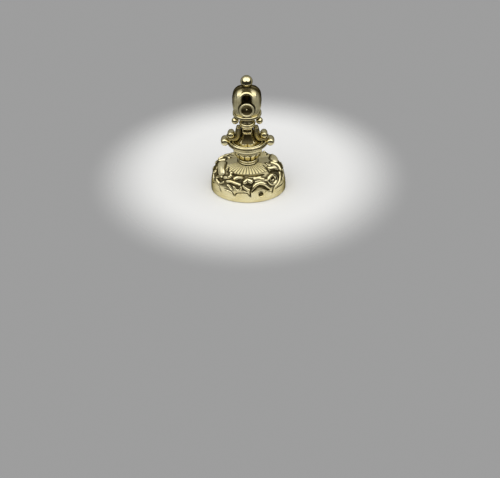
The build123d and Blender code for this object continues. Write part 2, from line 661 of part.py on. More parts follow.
# Bow: an arch with plump edges, a niche on each face, the hanging eye right through,
# and sockets for the post below and the finial's peg above
arch_spring = BOW_TOP - BOW_HALF_WIDTH
bow_foot_half = BOW_HALF_WIDTH - BOW_WAIST
niche_radius = EYE_RADIUS + NICHE_LAND
peg_length = EYE_WALL - PEG_WALL
with BuildPart() as bow:
    with BuildSketch(Plane.XZ):
        with BuildLine():
            Line((-bow_foot_half, BOW_FOOT), (bow_foot_half, BOW_FOOT))
            TangentArc((BOW_HALF_WIDTH, arch_spring), (bow_foot_half, BOW_FOOT), tangent=(0, -1))
            ThreePointArc((BOW_HALF_WIDTH, arch_spring), (0, BOW_TOP), (-BOW_HALF_WIDTH, arch_spring))
            TangentArc((-BOW_HALF_WIDTH, arch_spring), (-bow_foot_half, BOW_FOOT), tangent=(0, -1))
        make_face()
    extrude(amount=BOW_FACE, both=True)
    arch_edges = bow.edges().group_by(Axis.Y)[0] + bow.edges().group_by(Axis.Y)[-1]
    fillet(arch_edges.filter_by(GeomType.CIRCLE), BOW_EDGE_ROUND)
    for face_plane in (Plane.XZ, Plane.XZ.rotated((0, 0, 180))):
        with BuildSketch(face_plane.offset(BOW_FACE - NICHE_DEPTH)):
            with Locations((0, EYE_CENTRE)):
                Circle(niche_radius)
                Rectangle(2 * niche_radius, EYE_CENTRE - BOSS_CENTRE, align=(Align.CENTER, Align.MAX))
        extrude(amount=BOW_FACE, taper=-NICHE_TAPER, mode=Mode.SUBTRACT)
    with BuildSketch(Plane.XZ):
        with Locations((0, EYE_CENTRE)):
            Circle(EYE_RADIUS)
    extrude(amount=BOW_THICKNESS, both=True, mode=Mode.SUBTRACT)
    with Locations((0, 0, BOW_FOOT)):
        Cylinder(
            POST_BORE,
            POST_ENTRY + POST_CLEARANCE,
            align=(Align.CENTER, Align.CENTER, Align.MIN),
            mode=Mode.SUBTRACT,
        )
    with Locations((0, 0, BOW_TOP)):
        Cylinder(
            BALL_PEG_RADIUS + POST_CLEARANCE,
            peg_length + POST_CLEARANCE,
            align=(Align.CENTER, Align.CENTER, Align.MAX),
            mode=Mode.SUBTRACT,
        )
for keep, name in ((Keep.TOP, "bow_front"), (Keep.BOTTOM, "bow_rear")):
    with BuildPart() as bow_half:
        add(bow.part)
        split(bisect_by=Plane.XZ, keep=keep)
    save(bow_half, name)

# Bosses: a raised round cup with a pip in its hollow, on each face of the bow
boss_lip = BOSS_RADIUS - BOSS_RIM
boss_edge = BOSS_HEIGHT - BOSS_RIM / 2
with BuildPart() as boss:
    with BuildSketch(Plane.XY):
        with BuildLine():
            Line((0, 0), (BOSS_RADIUS, 0))
            Line((BOSS_RADIUS, 0), (BOSS_RADIUS, boss_edge))
            ThreePointArc(
                (BOSS_RADIUS, boss_edge), (BOSS_RADIUS - BOSS_RIM / 2, BOSS_HEIGHT), (boss_lip, boss_edge)
            )
            TangentArc((0, BOSS_HEIGHT - BOSS_DISH_DEPTH), (boss_lip, boss_edge), tangent=(1, 0))
            Line((0, BOSS_HEIGHT - BOSS_DISH_DEPTH), (0, 0))
        make_face()
    revolve(axis=Axis.Y)
    with Locations((0, BOSS_HEIGHT - BOSS_DISH_DEPTH, 0)):
        Sphere(BOSS_PIP_RADIUS)
boss_in_place = Pos(0, BOW_FACE, BOSS_CENTRE) * boss.part
for turn, name in ((180, "boss_front"), (0, "boss_rear")):
    with BuildPart() as bow_boss:
        add(boss_in_place, rotation=(0, 0, turn))
    save(bow_boss, name)

# Ball seat: a little ring fitted to the crown of the bow
with BuildPart() as ball_seat:
    with Locations((0, 0, BOW_TOP + SEAT_HEIGHT)):
        Cylinder(SEAT_RADIUS, 2 * SEAT_HEIGHT, align=(Align.CENTER, Align.CENTER, Align.MAX))
    fillet(ball_seat.edges().group_by(Axis.Z)[-1], SEAT_HEIGHT / 4)
    add(bow.part, mode=Mode.SUBTRACT)
    with Locations((0, 0, BALL_CENTRE)):
        Sphere(BALL_RADIUS, mode=Mode.SUBTRACT)
    with Locations((0, 0, BOW_TOP + SEAT_HEIGHT)):
        Hole(BALL_PEG_RADIUS + POST_CLEARANCE)
save(ball_seat, "ball_seat")

# Top ball: the finial, with a peg that goes down between the bow's halves
with BuildPart() as top_ball:
    with Locations((0, 0, BALL_CENTRE)):
        Sphere(BALL_RADIUS)
    with Locations((0, 0, BOW_TOP - peg_length)):
        Cylinder(
            BALL_PEG_RADIUS, BALL_CENTRE - BOW_TOP + peg_length, align=(Align.CENTER, Align.CENTER, Align.MIN)
        )
save(top_ball, "top_ball")
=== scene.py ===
import json
import bmesh
import bpy
import numpy as np
from mathutils import Matrix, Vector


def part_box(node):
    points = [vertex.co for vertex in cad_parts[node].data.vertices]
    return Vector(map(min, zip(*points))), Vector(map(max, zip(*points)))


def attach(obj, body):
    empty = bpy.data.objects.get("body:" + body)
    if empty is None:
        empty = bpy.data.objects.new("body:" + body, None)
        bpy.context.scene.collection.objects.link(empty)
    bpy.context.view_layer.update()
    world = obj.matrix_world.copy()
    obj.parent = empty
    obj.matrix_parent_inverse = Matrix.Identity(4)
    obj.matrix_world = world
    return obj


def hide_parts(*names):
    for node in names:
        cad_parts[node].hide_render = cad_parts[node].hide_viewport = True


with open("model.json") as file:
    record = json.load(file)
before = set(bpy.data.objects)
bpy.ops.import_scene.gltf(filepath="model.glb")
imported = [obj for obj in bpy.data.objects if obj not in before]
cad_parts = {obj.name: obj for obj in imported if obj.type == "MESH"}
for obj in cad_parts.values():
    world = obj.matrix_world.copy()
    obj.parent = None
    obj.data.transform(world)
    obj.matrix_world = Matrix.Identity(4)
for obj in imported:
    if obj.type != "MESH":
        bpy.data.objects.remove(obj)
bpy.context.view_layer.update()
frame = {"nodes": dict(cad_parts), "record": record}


# Seal stone, its bed and the post
# The stone is a polished carnelian, the bed is dark setting shellac run in behind it, and the post is
# plain turned brass. They close and hold the hollow case, and show only from underneath or not at all.
def add_node(tree, kind, **values):
    """A shader node with values set on its named inputs, underscores standing for spaces."""
    node = tree.nodes.new(kind)
    for key, value in values.items():
        node.inputs[key.replace("_", " ")].default_value = value
    return node


def new_finish(name):
    """A material with its own Principled shader: returns the material, its tree and the shader."""
    material = bpy.data.materials.new(name)
    material.use_nodes = True
    tree = material.node_tree
    return material, tree, tree.nodes["Principled BSDF"]


def ramp(tree, factor, *stops):
    """A colour ramp through (place, colour) stops, fed by a factor socket; returns its colour socket."""
    node = tree.nodes.new("ShaderNodeValToRGB")
    while len(node.color_ramp.elements) < len(stops):
        node.color_ramp.elements.new(1.0)
    for element, (place, colour) in zip(node.color_ramp.elements, stops):
        element.position = place
        element.color = (*colour, 1.0)
    tree.links.new(factor, node.inputs["Fac"])
    return node.outputs["Color"]


def carnelian():
    """Red-brown hardstone: cloudy bands from two noises, one stretched across the stone."""
    material, tree, shader = new_finish("carnelian")
    place = tree.nodes.new("ShaderNodeTexCoord").outputs["Object"]
    cloud = add_node(tree, "ShaderNodeTexNoise", Scale=260.0, Detail=5.0, Distortion=1.2)
    tree.links.new(place, cloud.inputs["Vector"])
    colour = ramp(tree, cloud.outputs["Fac"], (0.3, (0.13, 0.018, 0.008)), (0.55, (0.34, 0.06, 0.02)),
                  (0.75, (0.5, 0.15, 0.05)))
    tree.links.new(colour, shader.inputs["Base Color"])
    pores = add_node(tree, "ShaderNodeTexNoise", Scale=6000.0, Detail=2.0)
    tree.links.new(place, pores.inputs["Vector"])
    bump = add_node(tree, "ShaderNodeBump", Strength=0.08, Distance=0.00002)
    tree.links.new(pores.outputs["Fac"], bump.inputs["Height"])
    tree.links.new(bump.outputs["Normal"], shader.inputs["Normal"])
    shader.inputs["Roughness"].default_value = 0.12
    shader.inputs["Coat Weight"].default_value = 0.4
    return material


def shellac():
    """Dark brown setting shellac, dull and a little pitted."""
    material, tree, shader = new_finish("shellac")
    place = tree.nodes.new("ShaderNodeTexCoord").outputs["Object"]
    grit = add_node(tree, "ShaderNodeTexNoise", Scale=1800.0, Detail=4.0)
    tree.links.new(place, grit.inputs["Vector"])
    colour = ramp(tree, grit.outputs["Fac"], (0.3, (0.02, 0.009, 0.004)), (0.7, (0.06, 0.028, 0.012)))
    tree.links.new(colour, shader.inputs["Base Color"])
    bump = add_node(tree, "ShaderNodeBump", Strength=0.3, Distance=0.00005)
    tree.links.new(grit.outputs["Fac"], bump.inputs["Height"])
    tree.links.new(bump.outputs["Normal"], shader.inputs["Normal"])
    shader.inputs["Roughness"].default_value = 0.55
    return material


def turned_brass():
    """Unpolished brass with the fine rings of the lathe round it."""
    material, tree, shader = new_finish("turned_brass")
    place = tree.nodes.new("ShaderNodeTexCoord").outputs["Object"]
    rings = add_node(tree, "ShaderNodeTexWave", Scale=3000.0, Distortion=0.6, Detail=2.0)
    rings.bands_direction = "Z"
    tree.links.new(place, rings.inputs["Vector"])
    colour = ramp(tree, rings.outputs["Fac"], (0.0, (0.3, 0.19, 0.07)), (1.0, (0.48, 0.33, 0.13)))
    tree.links.new(colour, shader.inputs["Base Color"])
    shader.inputs["Metallic"].default_value = 1.0
    shader.inputs["Roughness"].default_value = 0.38
    return material


for node, finish in (("seal_stone", carnelian()), ("stone_bed", shellac()), ("core_post", turned_brass())):
    frame["nodes"][node].material_slots[0].material = finish


# Setting rim
# The plain gilt band at the foot, a strip bent to the oval and soldered, its lower lip rubbed over
# the stone's bevel. It is the best polished face of the seal, faintly uneven from the hammer.
MM = 0.001
GOLD_LIGHT = (0.87, 0.79, 0.5)
GOLD_DEEP = (0.75, 0.65, 0.34)
# Partly real patina, partly painted shade: the dark colour laid into hollows, creases and under things.
PATINA_AND_SHADE = (0.05, 0.036, 0.01)
# Paler than the gold where it is matt: partly a matt finish, partly a painted highlight.
FROST_AND_HIGHLIGHT = (0.98, 0.91, 0.6)
# A near-black tint at grazing angles: painted shade along the outlines.
EDGE_SHADE_TINT = (0.05, 0.045, 0.02)
DARKEST = 0.94
DARKENED_ROUGHNESS = 0.3
GRAIN_ROUGHNESS = 0.08
MATT_ROUGHNESS = 0.75
HOLLOW_REACH = 3
HOLLOW_DEPTH = 0.06


def span(node):
    """Lowest and highest corner of a solid of the frame, in millimetres."""
    return np.array(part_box(node)) / MM


def gilding_group():
    """Shared gilding: a cloudy gold, paler and rougher where it is matt, with a fine hammered height; the
    paler colour is partly a painted highlight.
    A dark colour, partly real patina and partly painted shade, darkens it by the hollow value times its
    strength, broken up by a noise."""
    group = bpy.data.node_groups.new("gilding", "ShaderNodeTree")
    for name in ("Hollow", "Matt", "Darkening", "Polish"):
        group.interface.new_socket(name, in_out="INPUT", socket_type="NodeSocketFloat")
    group.interface.new_socket("Colour", in_out="OUTPUT", socket_type="NodeSocketColor")
    group.interface.new_socket("Roughness", in_out="OUTPUT", socket_type="NodeSocketFloat")
    group.interface.new_socket("Height", in_out="OUTPUT", socket_type="NodeSocketFloat")
    given = group.nodes.new("NodeGroupInput").outputs
    wanted = group.nodes.new("NodeGroupOutput").inputs
    place = group.nodes.new("ShaderNodeTexCoord").outputs["Object"]
    cloud = add_node(group, "ShaderNodeTexNoise", Scale=420.0, Detail=4.0, Roughness=0.6)
    grain = add_node(group, "ShaderNodeTexNoise", Scale=3200.0, Detail=3.0)
    for noise in (cloud, grain):
        group.links.new(place, noise.inputs["Vector"])
    gold = ramp(group, cloud.outputs["Fac"], (0.32, GOLD_DEEP), (0.68, GOLD_LIGHT))

    def maths(operation, first, second):
        """A socket that holds one sum of two sockets or plain numbers."""
        node = group.nodes.new("ShaderNodeMath")
        node.operation = operation
        for socket, value in zip(node.inputs, (first, second)):
            if isinstance(value, float):
                socket.default_value = value
            else:
                group.links.new(value, socket)
        return node.outputs["Value"]

    def blend(share, under, colour):
        """A socket that goes from a colour socket to a plain colour by a share socket."""
        node = group.nodes.new("ShaderNodeMix")
        node.data_type = "RGBA"
        group.links.new(share, node.inputs["Factor"])
        group.links.new(under, node.inputs[6])
        node.inputs[7].default_value = (*colour, 1.0)
        return node.outputs[2]

    patchy = maths("ADD", cloud.outputs["Fac"], 0.5)
    # Painted shade with some real patina: the hollow value times the strength, made patchy by the cloud.
    darkened_share = maths("MULTIPLY", maths("MULTIPLY", given["Hollow"], given["Darkening"]), patchy)
    darkened_share = maths("MINIMUM", darkened_share, DARKEST)
    group.links.new(blend(darkened_share, blend(given["Matt"], gold, FROST_AND_HIGHLIGHT), PATINA_AND_SHADE), wanted["Colour"])
    dull = given["Polish"]
    for cause, share in ((darkened_share, DARKENED_ROUGHNESS), (grain.outputs["Fac"], GRAIN_ROUGHNESS),
                         (given["Matt"], MATT_ROUGHNESS)):
        dull = maths("ADD", dull, maths("MULTIPLY", cause, share))
    group.links.new(dull, wanted["Roughness"])
    uneven = maths("ADD", grain.outputs["Fac"], maths("MULTIPLY", cloud.outputs["Fac"], 2.0))
    group.links.new(uneven, wanted["Height"])
    return group


gilding = gilding_group()


def gilt(name, darkening=1.0, polish=0.1, hammer=0.1):
    """Polished gilt metal: the gilding on the piece's attributes hollow and matt, and a faint bump."""
    # The hollow attribute lays on painted shade with some real patina; the matt attribute a paler colour
    # that is partly a painted highlight.
    material, tree, shader = new_finish(name)
    coat = tree.nodes.new("ShaderNodeGroup")
    coat.node_tree = gilding
    coat.inputs["Darkening"].default_value = darkening
    coat.inputs["Polish"].default_value = polish
    for key in ("hollow", "matt"):
        tone = tree.nodes.new("ShaderNodeAttribute")
        tone.attribute_name = key
        tree.links.new(tone.outputs["Fac"], coat.inputs[key.capitalize()])
    tree.links.new(coat.outputs["Colour"], shader.inputs["Base Color"])
    tree.links.new(coat.outputs["Roughness"], shader.inputs["Roughness"])
    bump = add_node(tree, "ShaderNodeBump", Strength=hammer, Distance=0.00004)
    tree.links.new(coat.outputs["Height"], bump.inputs["Height"])
    tree.links.new(bump.outputs["Normal"], shader.inputs["Normal"])
    shader.inputs["Metallic"].default_value = 1.0
    # The edge tint darkens the outlines as painted shade.
    shader.inputs["Specular Tint"].default_value = (*EDGE_SHADE_TINT, 1.0)
    return material


def smoothed(field, reach, wrap):
    """A field averaged over a square of grid cells each way, round the columns where they wrap."""
    total = field.copy()
    for axis, mode in ((0, "edge"), (1, "wrap" if wrap else "edge")):
        edges = [(0, 0)] * field.ndim
        edges[axis] = (reach, reach)
        padded = np.pad(total, edges, mode=mode)
        cells = np.arange(field.shape[axis])
        steps = range(2 * reach + 1)
        total = sum(np.take(padded, cells + step, axis=axis) for step in steps) / len(steps)
    return total


def outward(grid, wrap):
    """Unit normals of a grid, its columns round and its rows up: the cross product of its two slopes."""
    if wrap:
        across = np.roll(grid, -1, axis=1) - np.roll(grid, 1, axis=1)
    else:
        across = np.gradient(grid, axis=1)
    normal = np.cross(across, np.gradient(grid, axis=0))
    return normal / np.maximum(np.linalg.norm(normal, axis=-1, keepdims=True), 1e-9)


def skin(name, grid, material, nodes, wrap=True, hollow=None, matt=0.0, crease=50.0):
    """A grid of points in millimetres made a smooth gilt piece that stands for some nodes of the frame.
    Where no hollow is given, it is how deep a point lies under the average of its neighbours."""
    rows, columns = grid.shape[:2]
    # Unless given, the hollow is painted shade in creases and recesses, with some real patina.
    if hollow is None:
        sunk = ((smoothed(grid, HOLLOW_REACH, wrap) - grid) * outward(grid, wrap)).sum(axis=-1)
        hollow = np.clip(sunk / HOLLOW_DEPTH, 0, 1)
    here = np.arange(rows * columns).reshape(rows, columns)
    beside = np.roll(here, -1, axis=1)
    corners = np.stack([here[:-1], beside[:-1], beside[1:], here[1:]], axis=-1)
    if not wrap:
        corners = corners[:, :-1]
    corners = corners.reshape(-1, 4)
    mesh = bpy.data.meshes.new(name)
    mesh.vertices.add(rows * columns)
    mesh.vertices.foreach_set("co", (grid * MM).reshape(-1))
    mesh.loops.add(corners.size)
    mesh.loops.foreach_set("vertex_index", corners.reshape(-1))
    mesh.polygons.add(len(corners))
    mesh.polygons.foreach_set("loop_start", np.arange(0, corners.size, 4))
    mesh.update(calc_edges=True)
    for key, field in (("hollow", hollow), ("matt", matt)):
        tone = mesh.attributes.new(key, "FLOAT", "POINT")
        spread = np.broadcast_to(field, (rows, columns)).astype(np.float32)
        tone.data.foreach_set("value", spread.reshape(-1))
    soft = bmesh.new()
    soft.from_mesh(mesh)
    bmesh.ops.remove_doubles(soft, verts=soft.verts, dist=1e-7)
    soft.to_mesh(mesh)
    soft.free()
    mesh.shade_smooth()
    mesh.set_sharp_from_angle(angle=np.radians(crease))
    mesh.materials.append(material)
    piece = bpy.data.objects.new(name, mesh)
    bpy.context.scene.collection.objects.link(piece)
    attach(piece, "root")
    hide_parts(*nodes)
    return piece


def arc(middle, radius, start, end, steps=12):
    """Points of a circular arc in a profile's half plane, by angles in degrees from straight outwards."""
    turn = np.radians(np.linspace(start, end, steps))
    return np.stack([middle[0] + radius * np.cos(turn), middle[1] + radius * np.sin(turn)], axis=-1)


def oval_turned(profile, half_length, half_width, steps):
    """A profile of (distance in from the edge, height) carried round an oval, front to right."""
    turn = np.linspace(0, 2 * np.pi, steps, endpoint=False)
    inset, height = profile[:, :1], profile[:, 1:]
    return np.stack([(half_length - inset) * np.sin(turn), -(half_width - inset) * np.cos(turn),
                     np.broadcast_to(height, (len(profile), steps))], axis=-1)


RIM_LIP = 1.02
RIM_LIP_RISE = 0.12
RIM_ROUND = 0.4
RIM_TOP_ROUND = 0.06
RIM_CLEAR = 0.002
rim_high = span("setting_rim")[1]
rim_side = arc((RIM_ROUND, RIM_ROUND), RIM_ROUND, 270, 180, 14)
rim_top = arc((RIM_TOP_ROUND, rim_high[2] - RIM_TOP_ROUND), RIM_TOP_ROUND, 180, 90, 5)
rim_profile = np.concatenate([
    [(RIM_LIP, RIM_LIP_RISE), (RIM_LIP, 0.0)], rim_side,
    np.linspace(rim_side[-1], rim_top[0], 12)[1:-1], rim_top, [(RIM_LIP, rim_high[2])]])
skin("rim_band", oval_turned(rim_profile, *(rim_high[:2] - RIM_CLEAR), 320),
     gilt("gilt_rim", darkening=0.5, polish=0.12, hammer=0.14), ["setting_rim"])


# Base case
# A hollow dome struck from thin gilt sheet and chased by hand: rays on its crown, leaves over its two
# ends, flowers, a ring and a round-headed panel on its sides. The rear repeats the front, half a turn round.
CASE_FULLNESS = 1.1
CASE_STEP = 0.05
CROWN_HALF = np.array([8.0, 6.4])
CROWN_RISE = 0.7
CROWN_ROUND = 2.4
RAY_COUNT = 52
RAY_DEPTH = 0.14
RAYS_END = 72
RAYS_FADE = 12
# Painted shade with some real patina on the ground between the ornament, and painted shade in the rays'
# valleys.
GROUND_PATINA_AND_SHADE = 0.45
VALLEY_SHADE = 0.9
RIDGE_SEEN = 0.02
# A matt patch on the left lobe: rougher, and painted paler as a highlight.
LOBE_MATT_AND_HIGHLIGHT = 0.5
LOBE_PATCH_HALF = 1.15
PANEL_EYE = (20.5, 0.95)
PANEL_EYE_HALF = 0.72
CASE_COLUMNS = 640
case_low, case_high = span("base_case")
neck_low, neck_high = span("neck_ring")
case_foot = rim_high[:2] - CASE_STEP
crown_height = case_high[2] - CROWN_RISE
case_turn = np.radians(np.linspace(0, 90, 106))
crown_share = np.linspace(0, 1, 45)[1:, None]
case_inward = 1 - np.cos(case_turn) ** CASE_FULLNESS
case_halves = np.concatenate([
    case_foot - (case_foot - CROWN_HALF) * case_inward[:, None],
    CROWN_HALF + (neck_high[0] - CASE_STEP - CROWN_HALF) * crown_share])
case_heights = np.concatenate([
    case_low[2] + (crown_height - case_low[2]) * np.sin(case_turn) ** CASE_FULLNESS,
    crown_height + CROWN_RISE * (1 - (1 - crown_share[:, 0]) ** CROWN_ROUND)])
case_climb = np.concatenate([[0], np.cumsum(np.hypot(np.diff(case_halves[:, 1]), np.diff(case_heights)))])
crown_climb = case_climb[len(case_turn) - 1]


def on_dome(turn, climb):
    """The plain dome's point at a turn from the front, in degrees, and a climb up its front profile."""
    length = np.interp(climb, case_climb, case_halves[:, 0])
    width = np.interp(climb, case_climb, case_halves[:, 1])
    height = np.interp(climb, case_climb, case_heights)
    angle = np.radians(turn)
    return np.stack([length * np.sin(angle), -width * np.cos(angle), height], axis=-1)


dome_turn, dome_climb = np.meshgrid(np.linspace(-180, 180, CASE_COLUMNS, endpoint=False), case_climb)
dome = on_dome(dome_turn, dome_climb)
ridge_lift = np.zeros(dome_turn.shape)
groove_drop = np.zeros(dome_turn.shape)


def course(*places, steps=72):
    """A smooth line on the dome through (turn, climb) places.
    Each piece is a cubic that takes its end slopes from the places beside it."""
    places = np.array(places, float)
    ends = np.concatenate([[2 * places[0] - places[1]], places, [2 * places[-1] - places[-2]]])
    along = np.linspace(0, len(places) - 1, steps)
    piece = np.minimum(along.astype(int), len(places) - 2)
    t = (along - piece)[:, None]
    before, start, end, after = (ends[piece + k] for k in range(4))
    line = 0.5 * (2 * start + (end - before) * t + (2 * before - 5 * start + 4 * end - after) * t ** 2
                  + (3 * start - before - 3 * end + after) * t ** 3)
    return on_dome(line[:, 0], line[:, 1])


def loop(turn, climb, radius, steps=72):
    """A round line about a place on the dome, its radius laid off across and up the surface."""
    angle = np.linspace(0, 2 * np.pi, steps)
    degree = np.linalg.norm(on_dome(turn + 0.5, climb) - on_dome(turn - 0.5, climb))
    return on_dome(turn + radius * np.cos(angle) / degree, climb + radius * np.sin(angle))


def near_line(line, reach):
    """Which points of the dome lie about a line, how far from it they are, and how far along it."""
    near = ((dome > line.min(axis=0) - reach) & (dome < line.max(axis=0) + reach)).all(axis=-1)
    gap = np.linalg.norm(dome[near][:, None] - line, axis=-1)
    return near, gap.min(axis=1), gap.argmin(axis=1) / (len(line) - 1)


def beat(half_width, height, line):
    """Beats a ridge up along a line: the top of a round rod that stands out by the height."""
    rod = (half_width ** 2 + height ** 2) / (2 * height)
    near, gap = near_line(line, half_width)[:2]
    lift = np.sqrt(np.maximum(rod ** 2 - gap ** 2, 0)) - (rod - height)
    ridge_lift[near] = np.maximum(ridge_lift[near], lift)


def chase(half_width, depth, line, taper=0.4):
    """Chases a groove down along a line: one less the square of the distance over the half width.
    Its width narrows to both ends as the sine of the way along, to the power of the taper."""
    near, gap, along = near_line(line, half_width)
    half = half_width * np.maximum(np.sin(np.pi * along), 0.01) ** taper
    groove_drop[near] = np.maximum(groove_drop[near], depth * np.clip(1 - (gap / half) ** 2, 0, 1))


# Left end leaf: a broad lobe that runs up to its tip on the crown, and a curl at its foot
beat(0.52, 0.4, course((-50, 6.3), (-57, 7.2), (-69, 8.0), (-80, 8.3)))
beat(0.5, 0.4, course((-61, 6.1), (-69, 6.75), (-80, 7.15)))
beat(0.42, 0.38, course((-50, 5.0), (-57, 4.75), (-61, 4.1), (-58, 3.3), (-52, 3.0)))
beat(0.5, 0.3, course((-74, 5.2), (-77, 4.2), (-71, 3.0)))
beat(0.3, 0.28, course((-48, 3.3), (-43, 3.9)))
beat(0.3, 0.2, course((-60, 2.9), (-54, 2.4)))
left_lobe = course((-56, 6.3), (-64, 7.0), (-73, 7.5), (-82, 7.7))
beat(1.3, 0.46, left_lobe)
chase(0.38, 0.35, course((-54, 8.5), (-46, 7.6), (-38.5, 6.7), (-37, 5.8)), taper=0.2)
chase(0.45, 0.35, course((-80, 6.9), (-75, 5.9), (-71, 5.3)))
chase(0.5, 0.35, course((-55, 4.8), (-49, 4.5), (-43, 4.4)))

# First flower: petals over a dark cup, and its stalk
beat(0.45, 0.4, course((-43, 5.3), (-36, 5.7), (-32, 6.3), (-34, 7.2)))
beat(0.55, 0.45, course((-23, 5.7), (-17, 6.3), (-11, 6.4)))
beat(0.4, 0.38, course((-36, 4.5), (-29, 4.75), (-21, 4.55), (-13, 4.2)))
beat(0.35, 0.3, course((-33, 3.5), (-29, 3.0), (-25.5, 2.4)))
beat(0.35, 0.22, course((-22.5, 3.4), (-19.5, 2.6), (-15.5, 2.35), (-12, 2.7), (-11, 3.4)))
chase(0.45, 0.4, course((-28, 4.1), (-19, 3.75), (-12, 3.7)))
chase(0.28, 0.28, course((-43, 5.0), (-37, 4.1), (-29, 3.0), (-22, 2.0)))
chase(0.3, 0.25, course((-30, 5.7), (-25, 5.4), (-13, 5.5)))

# Second flower
beat(0.6, 0.45, course((-5, 5.0), (0, 5.6), (6, 5.2)))
beat(0.35, 0.24, course((-6.5, 3.9), (-4, 3.3), (-1, 2.9), (2.5, 2.6)))
chase(0.5, 0.42, course((-6, 4.2), (0, 3.95), (6, 3.8)), taper=0.25)
chase(0.12, 0.2, course((-1, 6.1), (0, 5.2), (-1, 4.6)))
chase(0.3, 0.25, course((-9, 2.9), (-5, 2.4), (-1, 2.1)))

# Ribbon between the flowers and the ring
beat(0.4, 0.3, course((12, 6.0), (19, 6.0), (28, 5.4)))
beat(0.26, 0.16, course((3, 6.4), (13, 6.5), (24, 6.3)))
beat(0.22, 0.14, course((13, 5.1), (20, 5.15), (28, 4.8)))

# Round-headed panel: an arched roll over a sunk crescent, with a drilled eye in a plain field
beat(0.5, 0.4, course((8, 2.8), (10.5, 3.7), (15, 4.3), (21, 4.5), (27, 4.1), (31.5, 3.4), (36, 2.2)))
beat(0.2, 0.07, loop(*PANEL_EYE, 0.82))
chase(0.55, 0.45, course((6.5, 1.8), (10.5, 2.7), (16, 3.2), (21, 3.2), (27, 2.7), (35, 1.7)), taper=0.25)
chase(PANEL_EYE_HALF, 0.7, loop(*PANEL_EYE, 0.12), taper=0.0)
chase(0.16, 0.16, course((26, 1.5), (32, 1.4), (39, 1.0)))
chase(0.3, 0.32, course((11, 5.1), (7, 4.3), (5.2, 2.9), (3.8, 1.8), (4.5, 0.4)), taper=0.2)

# Ring with a curl inside
beat(0.5, 0.5, loop(45, 4.5, 1.3))
beat(0.28, 0.2, course((40, 4.8), (44, 4.2), (47, 4.5)))
beat(0.3, 0.25, course((30, 5.0), (35, 4.8), (39, 4.6)))
chase(0.5, 0.3, course((42, 5.1), (46, 5.0), (48, 4.6)))
chase(0.25, 0.28, course((43.5, 2.4), (41.5, 1.4), (39.5, 0.4)), taper=0.25)

# Right end leaves: a pointed leaf above the ring, and ridges that sweep over the end
beat(0.55, 0.45, course((53, 8.0), (59, 7.6), (65, 7.2), (69.5, 6.5)))
beat(0.42, 0.38, course((71, 9.1), (68, 8.6), (66, 8.3)))
beat(0.5, 0.4, course((82, 8.3), (81, 7.4), (79, 6.4), (76, 5.5)))
beat(0.45, 0.3, course((68.5, 5.0), (65, 3.9), (58, 2.8), (48, 2.0)))
beat(0.5, 0.25, course((84, 4.6), (80, 3.4), (72, 2.6)))
chase(0.3, 0.35, course((56, 9.4), (51, 8.6), (47, 7.6), (43, 6.8)), taper=0.2)
chase(0.4, 0.4, course((44, 6.7), (54, 6.7), (63, 6.2), (68, 5.5)), taper=0.2)
chase(0.14, 0.16, course((57, 7.7), (65, 7.2), (72, 6.5)))

# Lower border: chased swags that meet in points
chase(0.28, 0.3, course((-39, 2.0), (-32, 2.0), (-26, 1.7), (-20.5, 0.4)), taper=0.2)
chase(0.26, 0.3, course((-20.5, 0.4), (-17.5, 1.3), (-9, 1.6), (-1, 1.5), (4.5, 0.4)), taper=0.2)
chase(0.26, 0.26, course((-62, 2.4), (-52, 1.9), (-44.5, 0.5)), taper=0.2)
chase(0.2, 0.16, course((46, 1.4), (55, 1.5), (66, 1.4), (80, 1.6)))
chase(0.2, 0.16, course((-85, 1.8), (-74, 1.5), (-64, 2.0)))
beat(0.25, 0.08, course((-37, 1.45), (-30, 1.35), (-24, 0.9)))

# The shadowed step under the rays, a matt patch painted paler as a highlight on the left lobe, painted shade
# in the panel's eye, and both sides
chase(0.42, 0.4, course((-32, 6.85), (-16, 6.9), (0, 6.85), (16, 6.8), (32, 6.7)), taper=0.2)
lobe_matt_and_highlight = np.zeros(dome_turn.shape)
near, gap = near_line(left_lobe, LOBE_PATCH_HALF)[:2]
lobe_matt_and_highlight[near] = LOBE_MATT_AND_HIGHLIGHT * np.clip((LOBE_PATCH_HALF - gap) / 0.4, 0, 1)
# Painted shade in the panel's drilled eye.
eye_shade = np.zeros(dome_turn.shape)
near, gap = near_line(loop(*PANEL_EYE, 0.02), PANEL_EYE_HALF)[:2]
eye_shade[near] = np.clip((PANEL_EYE_HALF - gap) / 0.08, 0, 1)
ridge_lift, groove_drop, lobe_matt_and_highlight, eye_shade = (
    np.maximum(field, np.roll(field, CASE_COLUMNS // 2, axis=1))
    for field in (ridge_lift, groove_drop, lobe_matt_and_highlight, eye_shade))

# Rays between the leaves: pleats on the crown, with painted shade in their valleys
pleat = np.abs(np.cos(np.radians(dome_turn) * RAY_COUNT / 2))
off_middle = np.abs((dome_turn + 90) % 180 - 90)
on_rays = (np.clip((dome_climb - crown_climb + 0.3) / 0.3, 0, 1)
           * np.clip((RAYS_END - off_middle) / RAYS_FADE, 0, 1))
on_ridge = ridge_lift > RIDGE_SEEN
bare_rays = on_rays * (ridge_lift < RIDGE_SEEN)
ray_lift = on_rays * RAY_DEPTH * (pleat ** 0.8 - 1)
dome_lift = np.where(on_ridge, ridge_lift, ray_lift) - groove_drop
dome_lift = np.where(dome_climb < 0.01, np.minimum(dome_lift, 0), dome_lift)
chased = dome + outward(dome, True) * dome_lift[..., None]

